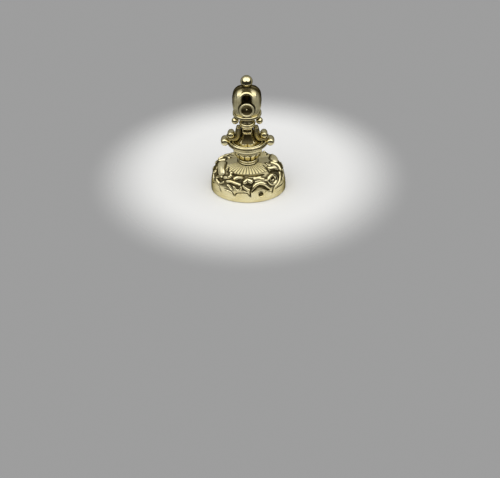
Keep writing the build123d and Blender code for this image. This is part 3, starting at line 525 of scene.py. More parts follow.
# Painted shade with some real patina: in the grooves, on the ground and in the pockets between ridges, and
# in the rays' valleys
beaten = np.where(on_ridge, ridge_lift, 0) - groove_drop
sunk = np.clip((smoothed(beaten, 6, True) - beaten - 0.02) / 0.08, 0, 1)
pocket = np.clip(smoothed(np.minimum(ridge_lift, 0.3), 9, True) / 0.13, 0, 1)
under_crown = np.clip((dome_climb - 2.0) / 0.8, 0, 1) * (dome_climb <= crown_climb - 0.1)
ground = np.clip(1 - ridge_lift / 0.12, 0, 1) * under_crown
ground = ground * (GROUND_PATINA_AND_SHADE + (1 - GROUND_PATINA_AND_SHADE) * pocket)
valley = VALLEY_SHADE * bare_rays * np.clip((0.42 - pleat) / 0.2, 0, 1)
# The rays and the left lobe are matt: rougher, and paler in colour as a painted highlight.
skin("base_dome", chased, gilt("gilt_dome", darkening=1.3, polish=0.08, hammer=0.2), ["base_case"],
     hollow=np.maximum.reduce([sunk, ground, valley, eye_shade]),
     matt=np.maximum(lobe_matt_and_highlight, bare_rays), crease=80.0)


# Neck ring
# The foot under the cup, turned in brass and gilt: two beads with a step between them. It is soldered
# to the crown of the case and threaded on the post.
POST_HOLE = 0.8
CREVICE_REACH = 8


def turned(profile, steps=160):
    """A profile of (radius, height) points turned round the upright axis, from the front to the right."""
    turn = np.linspace(0, 2 * np.pi, steps, endpoint=False)
    radius, height = profile[:, :1], profile[:, 1:]
    return np.stack([radius * np.sin(turn), -radius * np.cos(turn),
                     np.broadcast_to(height, (len(profile), steps))], axis=-1)


def evened(profile, step=0.05):
    """A profile's points spread evenly along its length."""
    way = np.concatenate([[0], np.cumsum(np.linalg.norm(np.diff(profile, axis=0), axis=1))])
    even = np.linspace(0, way[-1], int(way[-1] / step) + 1)
    return np.stack([np.interp(even, way, profile[:, k]) for k in (0, 1)], axis=-1)


def crevices(profile, depth=0.06):
    """How far each point of an even profile lies under the average of its neighbours, over a depth."""
    padded = np.pad(profile, ((CREVICE_REACH, CREVICE_REACH), (0, 0)), mode="edge")
    steps = range(2 * CREVICE_REACH + 1)
    average = sum(padded[step:step + len(profile)] for step in steps) / len(steps)
    slope = np.gradient(profile, axis=0)
    normal = np.stack([slope[:, 1], -slope[:, 0]], axis=-1)
    normal /= np.maximum(np.linalg.norm(normal, axis=1, keepdims=True), 1e-9)
    return np.clip(((average - profile) * normal).sum(axis=1) / depth, 0, 1)[:, None]


def lathe(name, profile, material, nodes, steps=160, place=(0, 0, 0)):
    """A turned gilt piece from its profile, with painted shade and some real patina in the crevices between
    its mouldings.
    """
    profile = evened(profile)
    return skin(name, turned(profile, steps) + place, material, nodes, hollow=crevices(profile))


ring_profile = np.concatenate([
    [(POST_HOLE, neck_low[2]), (2.85, neck_low[2])],
    arc((2.7, neck_low[2] + 0.25), 0.25, -60, 60, 10),
    [(2.78, neck_low[2] + 0.55)],
    arc((2.72, neck_high[2] - 0.42), 0.36, -60, 75, 14),
    [(2.6, neck_high[2]), (POST_HOLE, neck_high[2])]])
lathe("neck_foot", ring_profile, gilt("gilt_turned", darkening=1.1), ["neck_ring"])


# Fluted cup
# The knop: a cast bowl of plump tongues, round at the top and drawn in to the foot, under a smooth lip.
# It is gilt brass, stands in the neck ring, and is painted dark as shade between the tongues, under the lip
# and at the foot.
CUP_FOOT = 2.75
TONGUES = 14
TONGUE_ROUND = 0.42
TONGUE_LIFT = 0.36
CUP_COLUMNS = TONGUES * 22
LIP_BAND = 1.1
LIP_STEP = 0.3
cup_low, cup_high = span("fluted_cup")
lip_radius = cup_high[0]
lip_foot = cup_high[2] - LIP_BAND
cup_turn = np.linspace(0, 2 * np.pi, CUP_COLUMNS, endpoint=False)
cup_rise = np.linspace(0, 1, 60)[:, None]
cell = (cup_turn * TONGUES / (2 * np.pi) + 0.5) % 1.0 * 2 - 1
over_round = np.maximum(cup_rise - 1 + TONGUE_ROUND, 0) / TONGUE_ROUND
tongue_half = np.sqrt(np.clip(1 - over_round ** 2, 1e-4, 1))
tongue = np.sqrt(np.clip(1 - (cell / tongue_half) ** 2, 0, 1))
cup_ground = CUP_FOOT + (lip_radius - CUP_FOOT - LIP_STEP) * np.sin(np.pi / 2 * cup_rise) ** 0.9
cup_radius = cup_ground + TONGUE_LIFT * np.sqrt(np.clip(cup_rise / 0.3, 0, 1)) * tongue
cup_height = np.broadcast_to(cup_low[2] + (lip_foot - cup_low[2]) * cup_rise, cup_radius.shape)
cup_body = np.stack([cup_radius * np.sin(cup_turn), -cup_radius * np.cos(cup_turn), cup_height], axis=-1)
lip_profile = np.concatenate([
    arc((lip_radius - 0.2, lip_foot + 0.2), 0.2, -90, 0, 8),
    [(lip_radius - 0.04, lip_foot + 0.5)],
    arc((lip_radius - 0.16, cup_high[2] - 0.2), 0.16, 0, 90, 8),
    [(POST_HOLE, cup_high[2])]])
cup_floor = turned(np.array([(POST_HOLE, cup_low[2])]), CUP_COLUMNS)
lip_profile = evened(lip_profile, 0.08)
cup_grid = np.concatenate([cup_floor, cup_body, turned(lip_profile, CUP_COLUMNS)])
# Painted shade between the tongues, under the lip and at the foot.
notch = np.clip((np.abs(cell) - 0.62 - 0.26 * cup_rise) / 0.12, 0, 1)
notch = notch * np.clip((0.97 - cup_rise) / 0.1, 0, 1)
under_lip = np.clip((cup_rise - 0.9) / 0.06, 0, 1) * (tongue < 0.5)
at_foot = np.clip((0.14 - cup_rise) / 0.1, 0, 1)
cup_shade = np.zeros(cup_grid.shape[:2])
cup_shade[1:1 + len(cup_rise)] = np.maximum(np.maximum(notch, under_lip), at_foot)
skin("tongue_cup", cup_grid, gilt("gilt_cup", darkening=1.2), ["fluted_cup"], hollow=cup_shade)


# Dish
# A shallow saucer of gilt brass, spun and threaded on the post over the cup. Its rim is a pair of beads,
# one over the other, with a finer one inside, and its floor falls to the stem.
BEAD = 0.32
dish_low, dish_high = span("dish")
dish_reach = dish_high[0]
lower_bead = (dish_reach - BEAD, dish_high[2] - 3 * BEAD)
upper_bead = (dish_reach - BEAD - 0.2, dish_high[2] - BEAD)
dish_profile = np.concatenate([
    [(POST_HOLE, dish_low[2]), (lip_radius - 0.15, dish_low[2])],
    arc((dish_reach - BEAD, dish_low[2]), dish_reach - BEAD - lip_radius + 0.15, 175, 118, 10),
    arc(lower_bead, BEAD, -100, 85, 16), arc(upper_bead, BEAD, -70, 120, 16),
    np.linspace((upper_bead[0] - 0.25, dish_high[2] - 0.18), (upper_bead[0] - 0.6, dish_high[2] - 0.5), 5),
    arc((upper_bead[0] - 0.95, dish_high[2] - 0.55), 0.22, 20, 150, 8),
    np.linspace((upper_bead[0] - 1.3, dish_high[2] - 0.52), (3.3, dish_high[2] - 0.5), 8),
    [(POST_HOLE, dish_high[2] - 0.5)]])
dish_profile = evened(dish_profile)
# Painted shade in the crevices, on the underside and in the seam between the beads.
dish_shade = crevices(dish_profile, depth=0.03)
far_out = dish_profile[:, 0] > lip_radius - 0.2
dish_shade[far_out & (dish_profile[:, 1] < lower_bead[1] - 0.16)] = 1.0
dish_shade[far_out & (np.abs(dish_profile[:, 1] - lower_bead[1] - BEAD) < 0.12)] = 1.0
skin("saucer", turned(dish_profile, 220), gilt("gilt_dish", darkening=1.3), ["dish"], hollow=dish_shade)


# Dish rolls and side scrolls
# Each roll is a leaf end rolled up on itself to a plump barrel, cast in brass, gilt and soldered on.
# The side scrolls are straps that fall from the collar, turn under and carry the smaller rolls.
ROLL_ENDS = 0.38
ROLL_LENGTH = 0.9


def rolled(middle, radius, half_width):
    """A plump barrel along Y: its radius goes as a power of a cosine, and its way as that of a sine."""
    turn = np.linspace(0, 2 * np.pi, 48, endpoint=False)
    lean = np.linspace(-np.pi / 2, np.pi / 2, 33)[:, None]
    size = radius * np.abs(np.cos(lean)) ** ROLL_ENDS
    way = half_width * np.sign(np.sin(lean)) * np.abs(np.sin(lean)) ** ROLL_LENGTH
    return np.stack([middle[0] + size * np.cos(turn), np.broadcast_to(way, (33, 48)),
                     middle[1] - size * np.sin(turn)], axis=-1)


roll_gilt = gilt("gilt_roll", darkening=0.8, polish=0.1)
for side in ("left", "right"):
    roll_low, roll_high = span("dish_roll_" + side)
    middle = (roll_low + roll_high) / 2
    roll_radius = (roll_high[2] - roll_low[2]) / 2
    skin("rim_roll_" + side, rolled(middle[[0, 2]], roll_radius, roll_high[1]), roll_gilt,
         ["dish_roll_" + side])

STRAP_HALF_WIDTH = 1.1
STRAP_HALF_THICK = 0.9
STRAP_THINNING = 0.35
STRAP_TIP = 0.08
STRAP_DROP = 0.35
STRAP_LEAN = 0.6
SCROLL_ROLL = 1.05
SCROLL_INSET = 0.06
SCROLL_RISE = 1.97
SCROLL_GAP = 0.12
SCROLL_TURN = 170
stem_low, stem_high = span("stem")
scroll_low, scroll_high = span("scroll_right")
roll_place = np.array([scroll_high[0] - SCROLL_ROLL - SCROLL_INSET, scroll_low[2] + SCROLL_RISE])
fall = np.linspace(0, 1, 30)[:, None]
under = np.linspace(0, 1, 44)[1:, None]
under_turn = np.radians(180 + SCROLL_TURN * under)
strap_half = np.concatenate([STRAP_HALF_THICK - STRAP_THINNING * (1 - fall) ** 2,
                             STRAP_TIP + (STRAP_HALF_THICK - STRAP_TIP) * (1 - under) ** 1.1])
strap_reach = SCROLL_ROLL + SCROLL_GAP + strap_half
falling = np.concatenate([-strap_reach[:len(fall)] - STRAP_LEAN * (1 - fall) ** 2,
                          (stem_high[2] - STRAP_DROP - roll_place[1]) * (1 - fall)], axis=1)
turning = strap_reach[len(fall):] * np.concatenate([np.cos(under_turn), np.sin(under_turn)], axis=1)
strap_line = roll_place + np.concatenate([falling, turning])
strap_along = np.linspace(0, 1, len(strap_line))[:, None]
strap_slope = np.gradient(strap_line, axis=0)
strap_slope /= np.linalg.norm(strap_slope, axis=1, keepdims=True)
strap_side = np.stack([-strap_slope[:, 1], strap_slope[:, 0]], axis=-1)
round_strap = np.linspace(0, 2 * np.pi, 40, endpoint=False)
crown_out = np.sign(np.cos(round_strap)) * np.abs(np.cos(round_strap)) ** 0.5
crown_over = np.sign(np.sin(round_strap)) * np.abs(np.sin(round_strap)) ** 0.6
strap_wide = STRAP_HALF_WIDTH * np.sqrt(
    np.clip((1 - strap_along) * 9, 0.02, 1) * np.clip(strap_along * 12, 0.15, 1))
for side, way in (("right", 1), ("left", -1)):
    strap = np.stack([
        strap_line[:, :1] + strap_side[:, :1] * strap_half * crown_out, strap_wide * crown_over,
        strap_line[:, 1:] + strap_side[:, 1:] * strap_half * crown_out], axis=-1)
    head, tail = (np.broadcast_to(end.mean(axis=1, keepdims=True), end.shape)
                  for end in (strap[:1], strap[-1:]))
    strap = np.concatenate([head, strap, tail]) * (way, way, 1)
    skin("strap_" + side, strap, roll_gilt, ["scroll_" + side])
    roll = rolled(roll_place, SCROLL_ROLL, scroll_high[1]) * (way, way, 1)
    skin("strap_roll_" + side, roll, roll_gilt, ["scroll_" + side])


# Stem and its leaves
# A cast bell of gilt brass that flares to the dish. On its front and rear a two-lobed leaf is soldered
# under a framed tab, dished between bright borders, its field streaked with a graver and darkened inside the
# borders, as is the tab's.
STEM_WAIST = 1.7
STEM_TOP_RADIUS = 1.95
STEM_FLARE = 0.98
WAIST_HEIGHT = 3.5
stem_foot = stem_high[0]
stem_waist = stem_low[2] + WAIST_HEIGHT


def flared(share, roundness):
    """A round flare from 0 to 1: one less the root of one less a part of the share's square, scaled."""
    return (1 - np.sqrt(1 - roundness * share ** 2)) / (1 - np.sqrt(1 - roundness))


def bell_radius(height):
    """The bell's radius at a height: a round flare under the waist, and a slight one above it."""
    below = np.clip((stem_waist - height) / WAIST_HEIGHT, 0, 1)
    above = np.clip((height - stem_waist) / (stem_high[2] - stem_waist), 0, 1)
    return (STEM_WAIST + (stem_foot - STEM_WAIST) * flared(below, STEM_FLARE)
            + (STEM_TOP_RADIUS - STEM_WAIST) * above ** 2)


bell_heights = np.linspace(stem_low[2], stem_high[2], 60)
bell_side = np.stack([bell_radius(bell_heights), bell_heights], axis=-1)
bell_profile = np.concatenate([[(POST_HOLE, stem_low[2])], bell_side, [(POST_HOLE, stem_high[2])]])
stem_gilt = gilt("gilt_stem", darkening=1.3, polish=0.14)
lathe("bell", bell_profile, stem_gilt, ["stem"])

LEAF_TOP = 3.3
LEAF_HALF_TOP = 1.15
LEAF_HALF_FOOT = 2.25
LOBE_DEPTH = 0.85
LEAF_BORDER = 0.3
LEAF_SPREAD = 0.45
LEAF_STREAKS = 7
LEAF_LIFT = 0.1
BORDER_LIFT = 0.36
STREAK_LIFT = 0.06
LEAF_SUNK = -0.1
leaf_across = np.linspace(-1, 1, 81)
leaf_down = np.linspace(0, 1, 70)[:, None]
flare_heights = stem_low[2] + LEAF_TOP * np.linspace(0, 1, 400) ** 2
flare_line = np.stack([bell_radius(flare_heights), flare_heights], axis=-1)
flare_line = np.concatenate([[(stem_foot + LEAF_SPREAD, stem_low[2])], flare_line])
flare_way = np.concatenate([[0], np.cumsum(np.linalg.norm(np.diff(flare_line, axis=0), axis=1))])
flare_slope = np.gradient(flare_line, axis=0)
flare_slope /= np.linalg.norm(flare_slope, axis=1, keepdims=True)
lobe = np.sqrt(np.clip(1 - (2 * np.abs(leaf_across) - 1) ** 2, 0, 1))
leaf_foot = 0.06 + LOBE_DEPTH * (1 - lobe)
leaf_way = flare_way[-1] + (leaf_foot - flare_way[-1]) * leaf_down
leaf_half = LEAF_HALF_TOP + (LEAF_HALF_FOOT - LEAF_HALF_TOP) * leaf_down ** 1.6
leaf_x = leaf_across * leaf_half
from_side = (1 - np.abs(leaf_across)) * leaf_half
from_edge = np.minimum(from_side, np.minimum(leaf_way - leaf_foot, flare_way[-1] - leaf_way))
border = np.sqrt(np.clip(1 - ((from_edge - LEAF_BORDER / 2) / (LEAF_BORDER / 2)) ** 2, 0, 1))
inside = np.clip((from_edge - LEAF_BORDER) / 0.15, 0, 1)
streak = np.abs(np.sin(leaf_across * LEAF_STREAKS * np.pi / 2)) * inside
leaf_lift = LEAF_LIFT + BORDER_LIFT * border + STREAK_LIFT * (streak - inside)
leaf_lift = np.where(from_edge <= 1e-6, LEAF_SUNK, leaf_lift)
leaf_reach, leaf_z = (
    np.interp(leaf_way, flare_way, flare_line[:, k]) + leaf_lift * np.interp(leaf_way, flare_way, bend)
    for k, bend in ((0, flare_slope[:, 1]), (1, -flare_slope[:, 0])))
leaf_y = -np.sqrt(np.maximum(leaf_reach ** 2 - leaf_x ** 2, 0.01))
leaf_grid = np.stack([leaf_x, leaf_y, leaf_z], axis=-1)[::-1]
# Darker inside the borders of the leaf and of the tab.
leaf_field_dark = np.clip(1.4 * inside * (1.0 - 0.25 * streak), 0, 1)[::-1]

TAB_HALF = 1.4
TAB_HEIGHT = 1.45
TAB_FRAME = 0.3
TAB_LIFT = 0.32
tab_across = np.linspace(-1, 1, 41)
tab_up = np.linspace(0, 1, 31)[:, None]
tab_edge = np.minimum((1 - np.abs(tab_across)) * TAB_HALF, np.minimum(tab_up, 1 - tab_up) * TAB_HEIGHT)
tab_frame = np.sqrt(np.clip(1 - ((tab_edge - TAB_FRAME / 2) / (TAB_FRAME / 2)) ** 2, 0, 1))
tab_inside = np.clip((tab_edge - 0.28) / 0.1, 0, 1)
tab_z = np.broadcast_to(stem_low[2] + LEAF_TOP + TAB_HEIGHT * tab_up, tab_edge.shape)
tab_reach = bell_radius(tab_z) + np.where(tab_edge <= 1e-6, LEAF_SUNK, LEAF_LIFT + TAB_LIFT * tab_frame)
tab_x = tab_across * TAB_HALF + 0 * tab_up
tab_grid = np.stack([tab_x, -np.sqrt(np.maximum(tab_reach ** 2 - tab_x ** 2, 0.01)), tab_z], axis=-1)
leaf_gilt = gilt("gilt_leaf", darkening=1.4, polish=0.14)
for side, way in (("front", 1), ("rear", -1)):
    node = "stem_leaf_" + side
    skin("leaf_" + side, leaf_grid * (way, way, 1), leaf_gilt, [node], wrap=False, hollow=leaf_field_dark)
    skin("tab_" + side, tab_grid * (way, way, 1), leaf_gilt, [node], wrap=False, hollow=tab_inside)


# Stem collar, bow neck, neck beads and bow collar
# Rings turned in brass, gilt and stacked on the post, the top one a round plate with a rolled edge.
# A ball is soldered by its stalk under each end of the plate.
collar_low, collar_high = span("stem_collar")
collar_reach = collar_high[0]
COLLAR_SEAM = 0.6
COLLAR_DROP = 0.4
seam = collar_low[2] + COLLAR_SEAM
low_bead = COLLAR_SEAM / 2
high_bead = (collar_high[2] - seam) / 2
collar_profile = np.concatenate([
    [(POST_HOLE, collar_low[2] - COLLAR_DROP), (STEM_TOP_RADIUS - 0.1, collar_low[2] - COLLAR_DROP)],
    arc((collar_reach - 0.1 - low_bead, collar_low[2] - COLLAR_DROP + low_bead), low_bead, -88, 88, 14),
    arc((collar_reach - high_bead, seam - COLLAR_DROP + high_bead), high_bead, -86, 88, 18),
    [(1.75, collar_high[2]), (POST_HOLE, collar_high[2])]])
turned_gilt = gilt("gilt_rings", darkening=1.0)
lathe("collar_rings", collar_profile, turned_gilt, ["stem_collar"])

neck_piece_low, neck_piece_high = span("bow_neck")
NECK_WAIST = 1.7
NECK_FLARE = 0.97
NECK_SHADE = 0.9
flare = np.linspace(0, 1, 20)
neck_side = np.stack([NECK_WAIST + (neck_piece_high[0] - NECK_WAIST) * flared(flare, NECK_FLARE),
                      neck_piece_low[2] + (neck_piece_high[2] - neck_piece_low[2]) * flare], axis=-1)
bow_neck_profile = evened(np.concatenate([
    [(POST_HOLE, neck_piece_low[2])], neck_side, [(POST_HOLE, neck_piece_high[2])]]))
# The flare is painted dark all over: painted shade under the plate.
skin("neck_flare", turned(bow_neck_profile), turned_gilt, ["bow_neck"], hollow=NECK_SHADE)

BEAD_STALK = 0.35
for side in ("left", "right"):
    bead_low, bead_high = span("neck_bead_" + side)
    bead_radius = (bead_high[1] - bead_low[1]) / 2
    bead_middle = bead_low[2] + bead_radius
    stalk_foot = np.degrees(np.arccos(BEAD_STALK / bead_radius))
    bead_profile = np.concatenate([
        arc((0, bead_middle), bead_radius, -90, stalk_foot, 28),
        [(BEAD_STALK, bead_high[2]), (0, bead_high[2])]])
    bead_profile[0, 0] = 0
    lathe("bead_" + side, bead_profile, turned_gilt, ["neck_bead_" + side], steps=64,
          place=((bead_low[0] + bead_high[0]) / 2, 0, 0))

plate_low, plate_high = span("bow_collar")
plate_reach = plate_high[0]
PLATE_ROUND = 0.3
plate_profile = np.concatenate([
    [(POST_HOLE, plate_low[2])],
    arc((plate_reach - PLATE_ROUND, plate_low[2] + PLATE_ROUND), PLATE_ROUND, -90, 20, 10),
    arc((plate_reach - PLATE_ROUND + 0.02, plate_high[2] - 0.28), 0.26, -20, 90, 10),
    [(POST_HOLE, plate_high[2])]])
lathe("bow_plate", plate_profile, turned_gilt, ["bow_collar"], 180)


# Bow
# The arched handle, struck from gilt sheet in two halves and soldered along the edge. Each face has a
# deep niche round the hanging eye, under an arched roll and a groove, and a flank on either side whose lower
# part is matt and painted paler as a highlight.
BOW_INSET = 0.12
BOW_RISE = 0.25
BOW_SINK = 0.1
BOW_WAIST = 0.8
BOW_EDGE = 1.7
BOW_SWELL = 2.4
BOW_FULLNESS = 2.5
BOW_COLUMNS = 240
WALL_ROWS = 15
EYE_ROWS = 13
EYE_RADIUS = 1.0
NICHE_LAND = 0.35
NICHE_WALL = 0.2
NICHE_DEPTH = 0.8
bow_low, bow_high = span("bow_front")
boss_low, boss_high = span("boss_front")
boss_height = (boss_low[2] + boss_high[2]) / 2
eye_height = frame["record"]["mounts"][0]["pos_m"][2] / MM
bow_half = bow_high[0] - BOW_INSET
bow_foot = bow_low[2] - BOW_SINK
arch_spring = bow_high[2] + BOW_RISE - bow_half
arch_line = arc((0, 0), 1, 0, 180, 160)
arch_line = np.sign(arch_line) * np.abs(arch_line) ** (2 / BOW_FULLNESS) * bow_half + (0, arch_spring)
side_drop = np.linspace(0, 1, 60)[1:, None]
left_side = np.concatenate([-bow_half + BOW_WAIST * side_drop ** 2,
                            arch_spring - (arch_spring - bow_foot) * side_drop], axis=1)
foot_edge = np.linspace(left_side[-1], left_side[-1] * (-1, 1), 60)[1:-1]
outline = np.concatenate([arch_line, left_side, foot_edge, (left_side * (-1, 1))[::-1]]) - (0, eye_height)
bearing = np.arctan2(outline[:, 1], outline[:, 0])
way_round = np.linspace(0, 2 * np.pi, BOW_COLUMNS, endpoint=False)
edge_reach = np.interp(way_round, bearing, np.linalg.norm(outline, axis=1), period=2 * np.pi)

# The face, from the eye out to the edge: a niche of two round ends, and a quarter round towards the edge
BOW_LEAN = 0.45
LEAN_DROP = 1.55
LEAN_HEIGHT = 4.0
share = (1 - np.cos(np.linspace(0, np.pi, 90)))[:, None] / 2
reach_out = EYE_RADIUS + (edge_reach - EYE_RADIUS) * share
face_x = reach_out * np.cos(way_round)
face_z = eye_height + reach_out * np.sin(way_round)
drop, rise = (np.clip(step, 0, None) for step in (arch_spring - face_z, face_z - arch_spring))
from_middle = (np.abs(face_x) ** BOW_FULLNESS + rise ** BOW_FULLNESS) ** (1 / BOW_FULLNESS)
to_edge = bow_half - BOW_WAIST * (drop / (arch_spring - bow_foot)) ** 2 - from_middle
to_edge = np.clip(to_edge, 0, None)
over_edge = np.clip(1 - to_edge / BOW_SWELL, 0, 1)
leaning = BOW_LEAN * np.clip((face_z - eye_height + LEAN_DROP) / LEAN_HEIGHT, 0, 1) ** 1.5
face_y = -bow_low[1] - BOW_EDGE * (1 - np.sqrt(1 - over_edge ** 2)) - leaning
below_eye = np.clip(eye_height - face_z, 0, eye_height - boss_height)
from_niche = np.hypot(face_x, face_z - eye_height + below_eye) - EYE_RADIUS - NICHE_LAND
niche = np.clip(-from_niche / NICHE_WALL, 0, 1)
niche = niche * niche * (3 - 2 * niche)
face = np.stack([face_x, NICHE_DEPTH * niche - face_y, face_z], axis=-1)


def swept(edge, shares):
    """An edge of the face carried straight back to the middle plane: its depth times each share."""
    return edge * np.stack([np.ones_like(shares), shares, np.ones_like(shares)], axis=-1)


def with_wall(field, wall):
    """A field of the face with the rows of the side wall after it."""
    return np.concatenate([field, np.broadcast_to(wall, (WALL_ROWS, BOW_COLUMNS))])


wall_share = np.linspace(0, 1, WALL_ROWS + 1)[1:, None]
eye_share = np.linspace(0, 1, EYE_ROWS + 1)[:-1, None]
plain_bow = np.concatenate([face, swept(face[-1], 1 - wall_share)])
bow_x, bow_y, bow_z = np.moveaxis(plain_bow, -1, 0)
face_way = from_niche + BOW_EDGE * (np.arcsin(over_edge) - over_edge)
bow_way = with_wall(face_way, face_way[-1] + face_y[-1] * wall_share)
to_edge, from_niche, niche = (with_wall(field, 0.0) for field in (to_edge, from_niche, niche))

# Its ornament: the roll over the niche, the groove over the roll, the flanks, and curls near the foot
ARCH_DROP = 1.95
ARCH_FADE = 1.4
ROLL_HALF = 0.45
ROLL_LIFT = 0.24
GROOVE_WAY = 1.4
GROOVE_HALF = 0.45
GROOVE_END = 1.9
GROOVE_DEPTH = 0.4
FLANK_MIDDLE = 2.45
FLANK_HALF = 0.5
FLANK_LIFT = 0.18
CURL_MIDDLE = 3.0
CURL_HALF = 0.9
CURL_DROP = 3.95
CURL_PITCH = 0.45
CURL_SLANT = 0.35
CURL_START = 4.75
CURL_LIFT = 0.09
BOW_ALLOWANCE = 0.06


def hump(value, middle, half):
    """One at the middle, falling with the square of the distance to nothing at the half width."""
    return np.clip(1 - ((value - middle) / half) ** 2, 0, 1)


off_axis = np.abs(bow_x)
above = np.clip((bow_z - eye_height + ARCH_DROP) / ARCH_FADE, 0, 1)
roll_over = above * np.sqrt(hump(bow_way, ROLL_HALF, ROLL_HALF))
groove_over = above * hump(bow_way, GROOVE_WAY, GROOVE_HALF) * np.clip(GROOVE_END - off_axis, 0, 1)
flank = above * hump(off_axis, FLANK_MIDDLE, FLANK_HALF) * np.clip(to_edge / 0.9, 0, 1)
curls = hump(off_axis, CURL_MIDDLE, CURL_HALF) * hump(bow_z, eye_height - CURL_DROP, CURL_HALF)
curl_wave = np.sin((bow_z - eye_height + CURL_START - CURL_SLANT * off_axis) * np.pi / CURL_PITCH) ** 2
bow_lift = (np.maximum(ROLL_LIFT * roll_over, FLANK_LIFT * flank) - GROOVE_DEPTH * groove_over
            + CURL_LIFT * curls * curl_wave - BOW_ALLOWANCE)
bow_lift[-1] = 0
raised_bow = plain_bow[::-1] + outward(plain_bow[::-1], True) * (bow_lift * (1 - niche))[::-1, :, None]
half_bow = np.concatenate([raised_bow, swept(face[0], eye_share)[::-1]])

# Painted shade in the niche, the groove and the curls, under the ball, round the boss, at the edge and
# inside the eye; the lower flanks matt and painted paler as a highlight
BOW_EDGE_SHADE = 0.75
EDGE_DARK = 0.8
EDGE_DROP = 2.75
BOSS_SHADOW = 0.42
BOSS_SHADE = 0.85
FLANK_MATT_AND_HIGHLIGHT = 0.55
FLANK_PATCH_RISE = 1.45
under_ball = np.clip((1.6 - np.hypot(bow_x, bow_y)) / 0.4, 0, 1) * (bow_z > bow_high[2] - 0.7)
at_edge = np.clip(1 - to_edge / EDGE_DARK, 0, 1) * np.clip((bow_z - eye_height + EDGE_DROP) / 1.5, 0, 1)
from_boss = np.hypot(bow_x, bow_z - boss_height) - boss_high[0]
round_boss = np.clip((BOSS_SHADOW - from_boss) / 0.15, 0, 1)
bow_shade = np.maximum.reduce([
    np.clip(niche + 0.9 * groove_over, 0, 1), 0.9 * curls * np.clip((0.4 - curl_wave) / 0.3, 0, 1),
    under_ball, BOW_EDGE_SHADE * at_edge, BOSS_SHADE * round_boss])
bow_matt_and_highlight = (FLANK_MATT_AND_HIGHLIGHT * np.clip(to_edge / EDGE_DARK, 0, 1) * np.clip(from_niche / 0.3, 0, 1)
             * np.clip((eye_height + FLANK_PATCH_RISE - bow_z) / 1.2, 0, 1))
bow_shade = np.concatenate([bow_shade[::-1], np.ones((EYE_ROWS, BOW_COLUMNS))])
bow_matt_and_highlight = np.concatenate([bow_matt_and_highlight[::-1], np.zeros((EYE_ROWS, BOW_COLUMNS))])
bow_gilt = gilt("gilt_bow", darkening=1.2, polish=0.12)
for side, way in (("front", 1), ("rear", -1)):
    skin("bow_half_" + side, half_bow * (way, way, 1), bow_gilt, ["bow_" + side], hollow=bow_shade,
         matt=bow_matt_and_highlight, crease=75.0)


# Bosses
# A round gilt cup soldered on each face of the bow: a rolled rim, matt and painted paler as a highlight, a
# dished middle darkened, and a bright pip.
BOSS_RIM = 0.52
BOSS_DISH = 0.5
BOSS_PIP = 0.3
BOSS_SINK = 0.02
BOSS_RIM_MATT_AND_HIGHLIGHT = 0.55
boss_radius = (boss_high[0] - boss_low[0]) / 2
rim_middle = boss_high[1] - boss_low[1] - BOSS_RIM / 2
dish_way = np.linspace(1, 0.16, 24)[1:, None]
boss_side = np.array([(boss_radius - 0.05, -0.1), (boss_radius, 0.1)])
boss_rim = arc((boss_radius - BOSS_RIM / 2, rim_middle), BOSS_RIM / 2, 0, 180, 16)
boss_dish = np.concatenate([(boss_radius - BOSS_RIM) * dish_way,
                            rim_middle - BOSS_DISH * (1 - dish_way ** 2)], axis=1)
boss_pip = arc((0, rim_middle - BOSS_DISH * 0.97), BOSS_PIP, 10, 90, 10)
boss_pip[-1, 0] = 0
boss_profile = np.concatenate([boss_side, boss_rim, boss_dish, boss_pip])
boss_row = np.arange(len(boss_profile))[:, None]
on_rim = (boss_row > len(boss_side) + 1) & (boss_row < len(boss_side) + len(boss_rim))
on_pip = boss_row > len(boss_profile) - len(boss_pip)
boss_turned = turned(boss_profile, 96)
for side, way in (("front", 1), ("rear", -1)):
    boss_grid = np.stack([boss_turned[..., 0], boss_high[1] - BOSS_SINK - boss_turned[..., 2],
                          boss_turned[..., 1] + boss_height], axis=-1) * (way, way, 1)
    # The rim is matt and painted paler as a highlight; all but the rim and the pip is darkened.
    skin("boss_cup_" + side, boss_grid, gilt("gilt_boss_" + side, darkening=1.0), ["boss_" + side],
         hollow=1.0 * ~(on_rim | on_pip), matt=BOSS_RIM_MATT_AND_HIGHLIGHT * on_rim)


# Ball seat and top ball
# The finial: a polished ball on a little ring, turned in brass, gilt and pegged into the crown of the
# bow. The ring is painted dark as the shade under the ball.
PEG_HOLE = 0.45
SEAT_ROUND = 0.16
seat_low, seat_high = span("ball_seat")
ball_low, ball_high = span("top_ball")
ball_radius = (ball_high[1] - ball_low[1]) / 2
ball_middle = ball_high[2] - ball_radius
seat_profile = np.concatenate([
    [(PEG_HOLE, seat_low[2]), (seat_high[0] - 0.02, seat_low[2])],
    arc((seat_high[0] - SEAT_ROUND, seat_high[2] - 0.2), SEAT_ROUND, -30, 90, 10),
    [(PEG_HOLE, seat_high[2] - 0.04)]])
# The ring is painted dark all over as the shade under the ball.
skin("finial_ring", turned(seat_profile, 64), gilt("gilt_seat", darkening=1.3), ["ball_seat"], hollow=1.0)
ball_profile = arc((0, ball_middle), ball_radius, -90, 90, 48)
ball_profile[[0, -1], 0] = 0
skin("finial_ball", turned(ball_profile, 96), gilt("gilt_ball", darkening=0.4, polish=0.08, hammer=0.06),
     ["top_ball"])


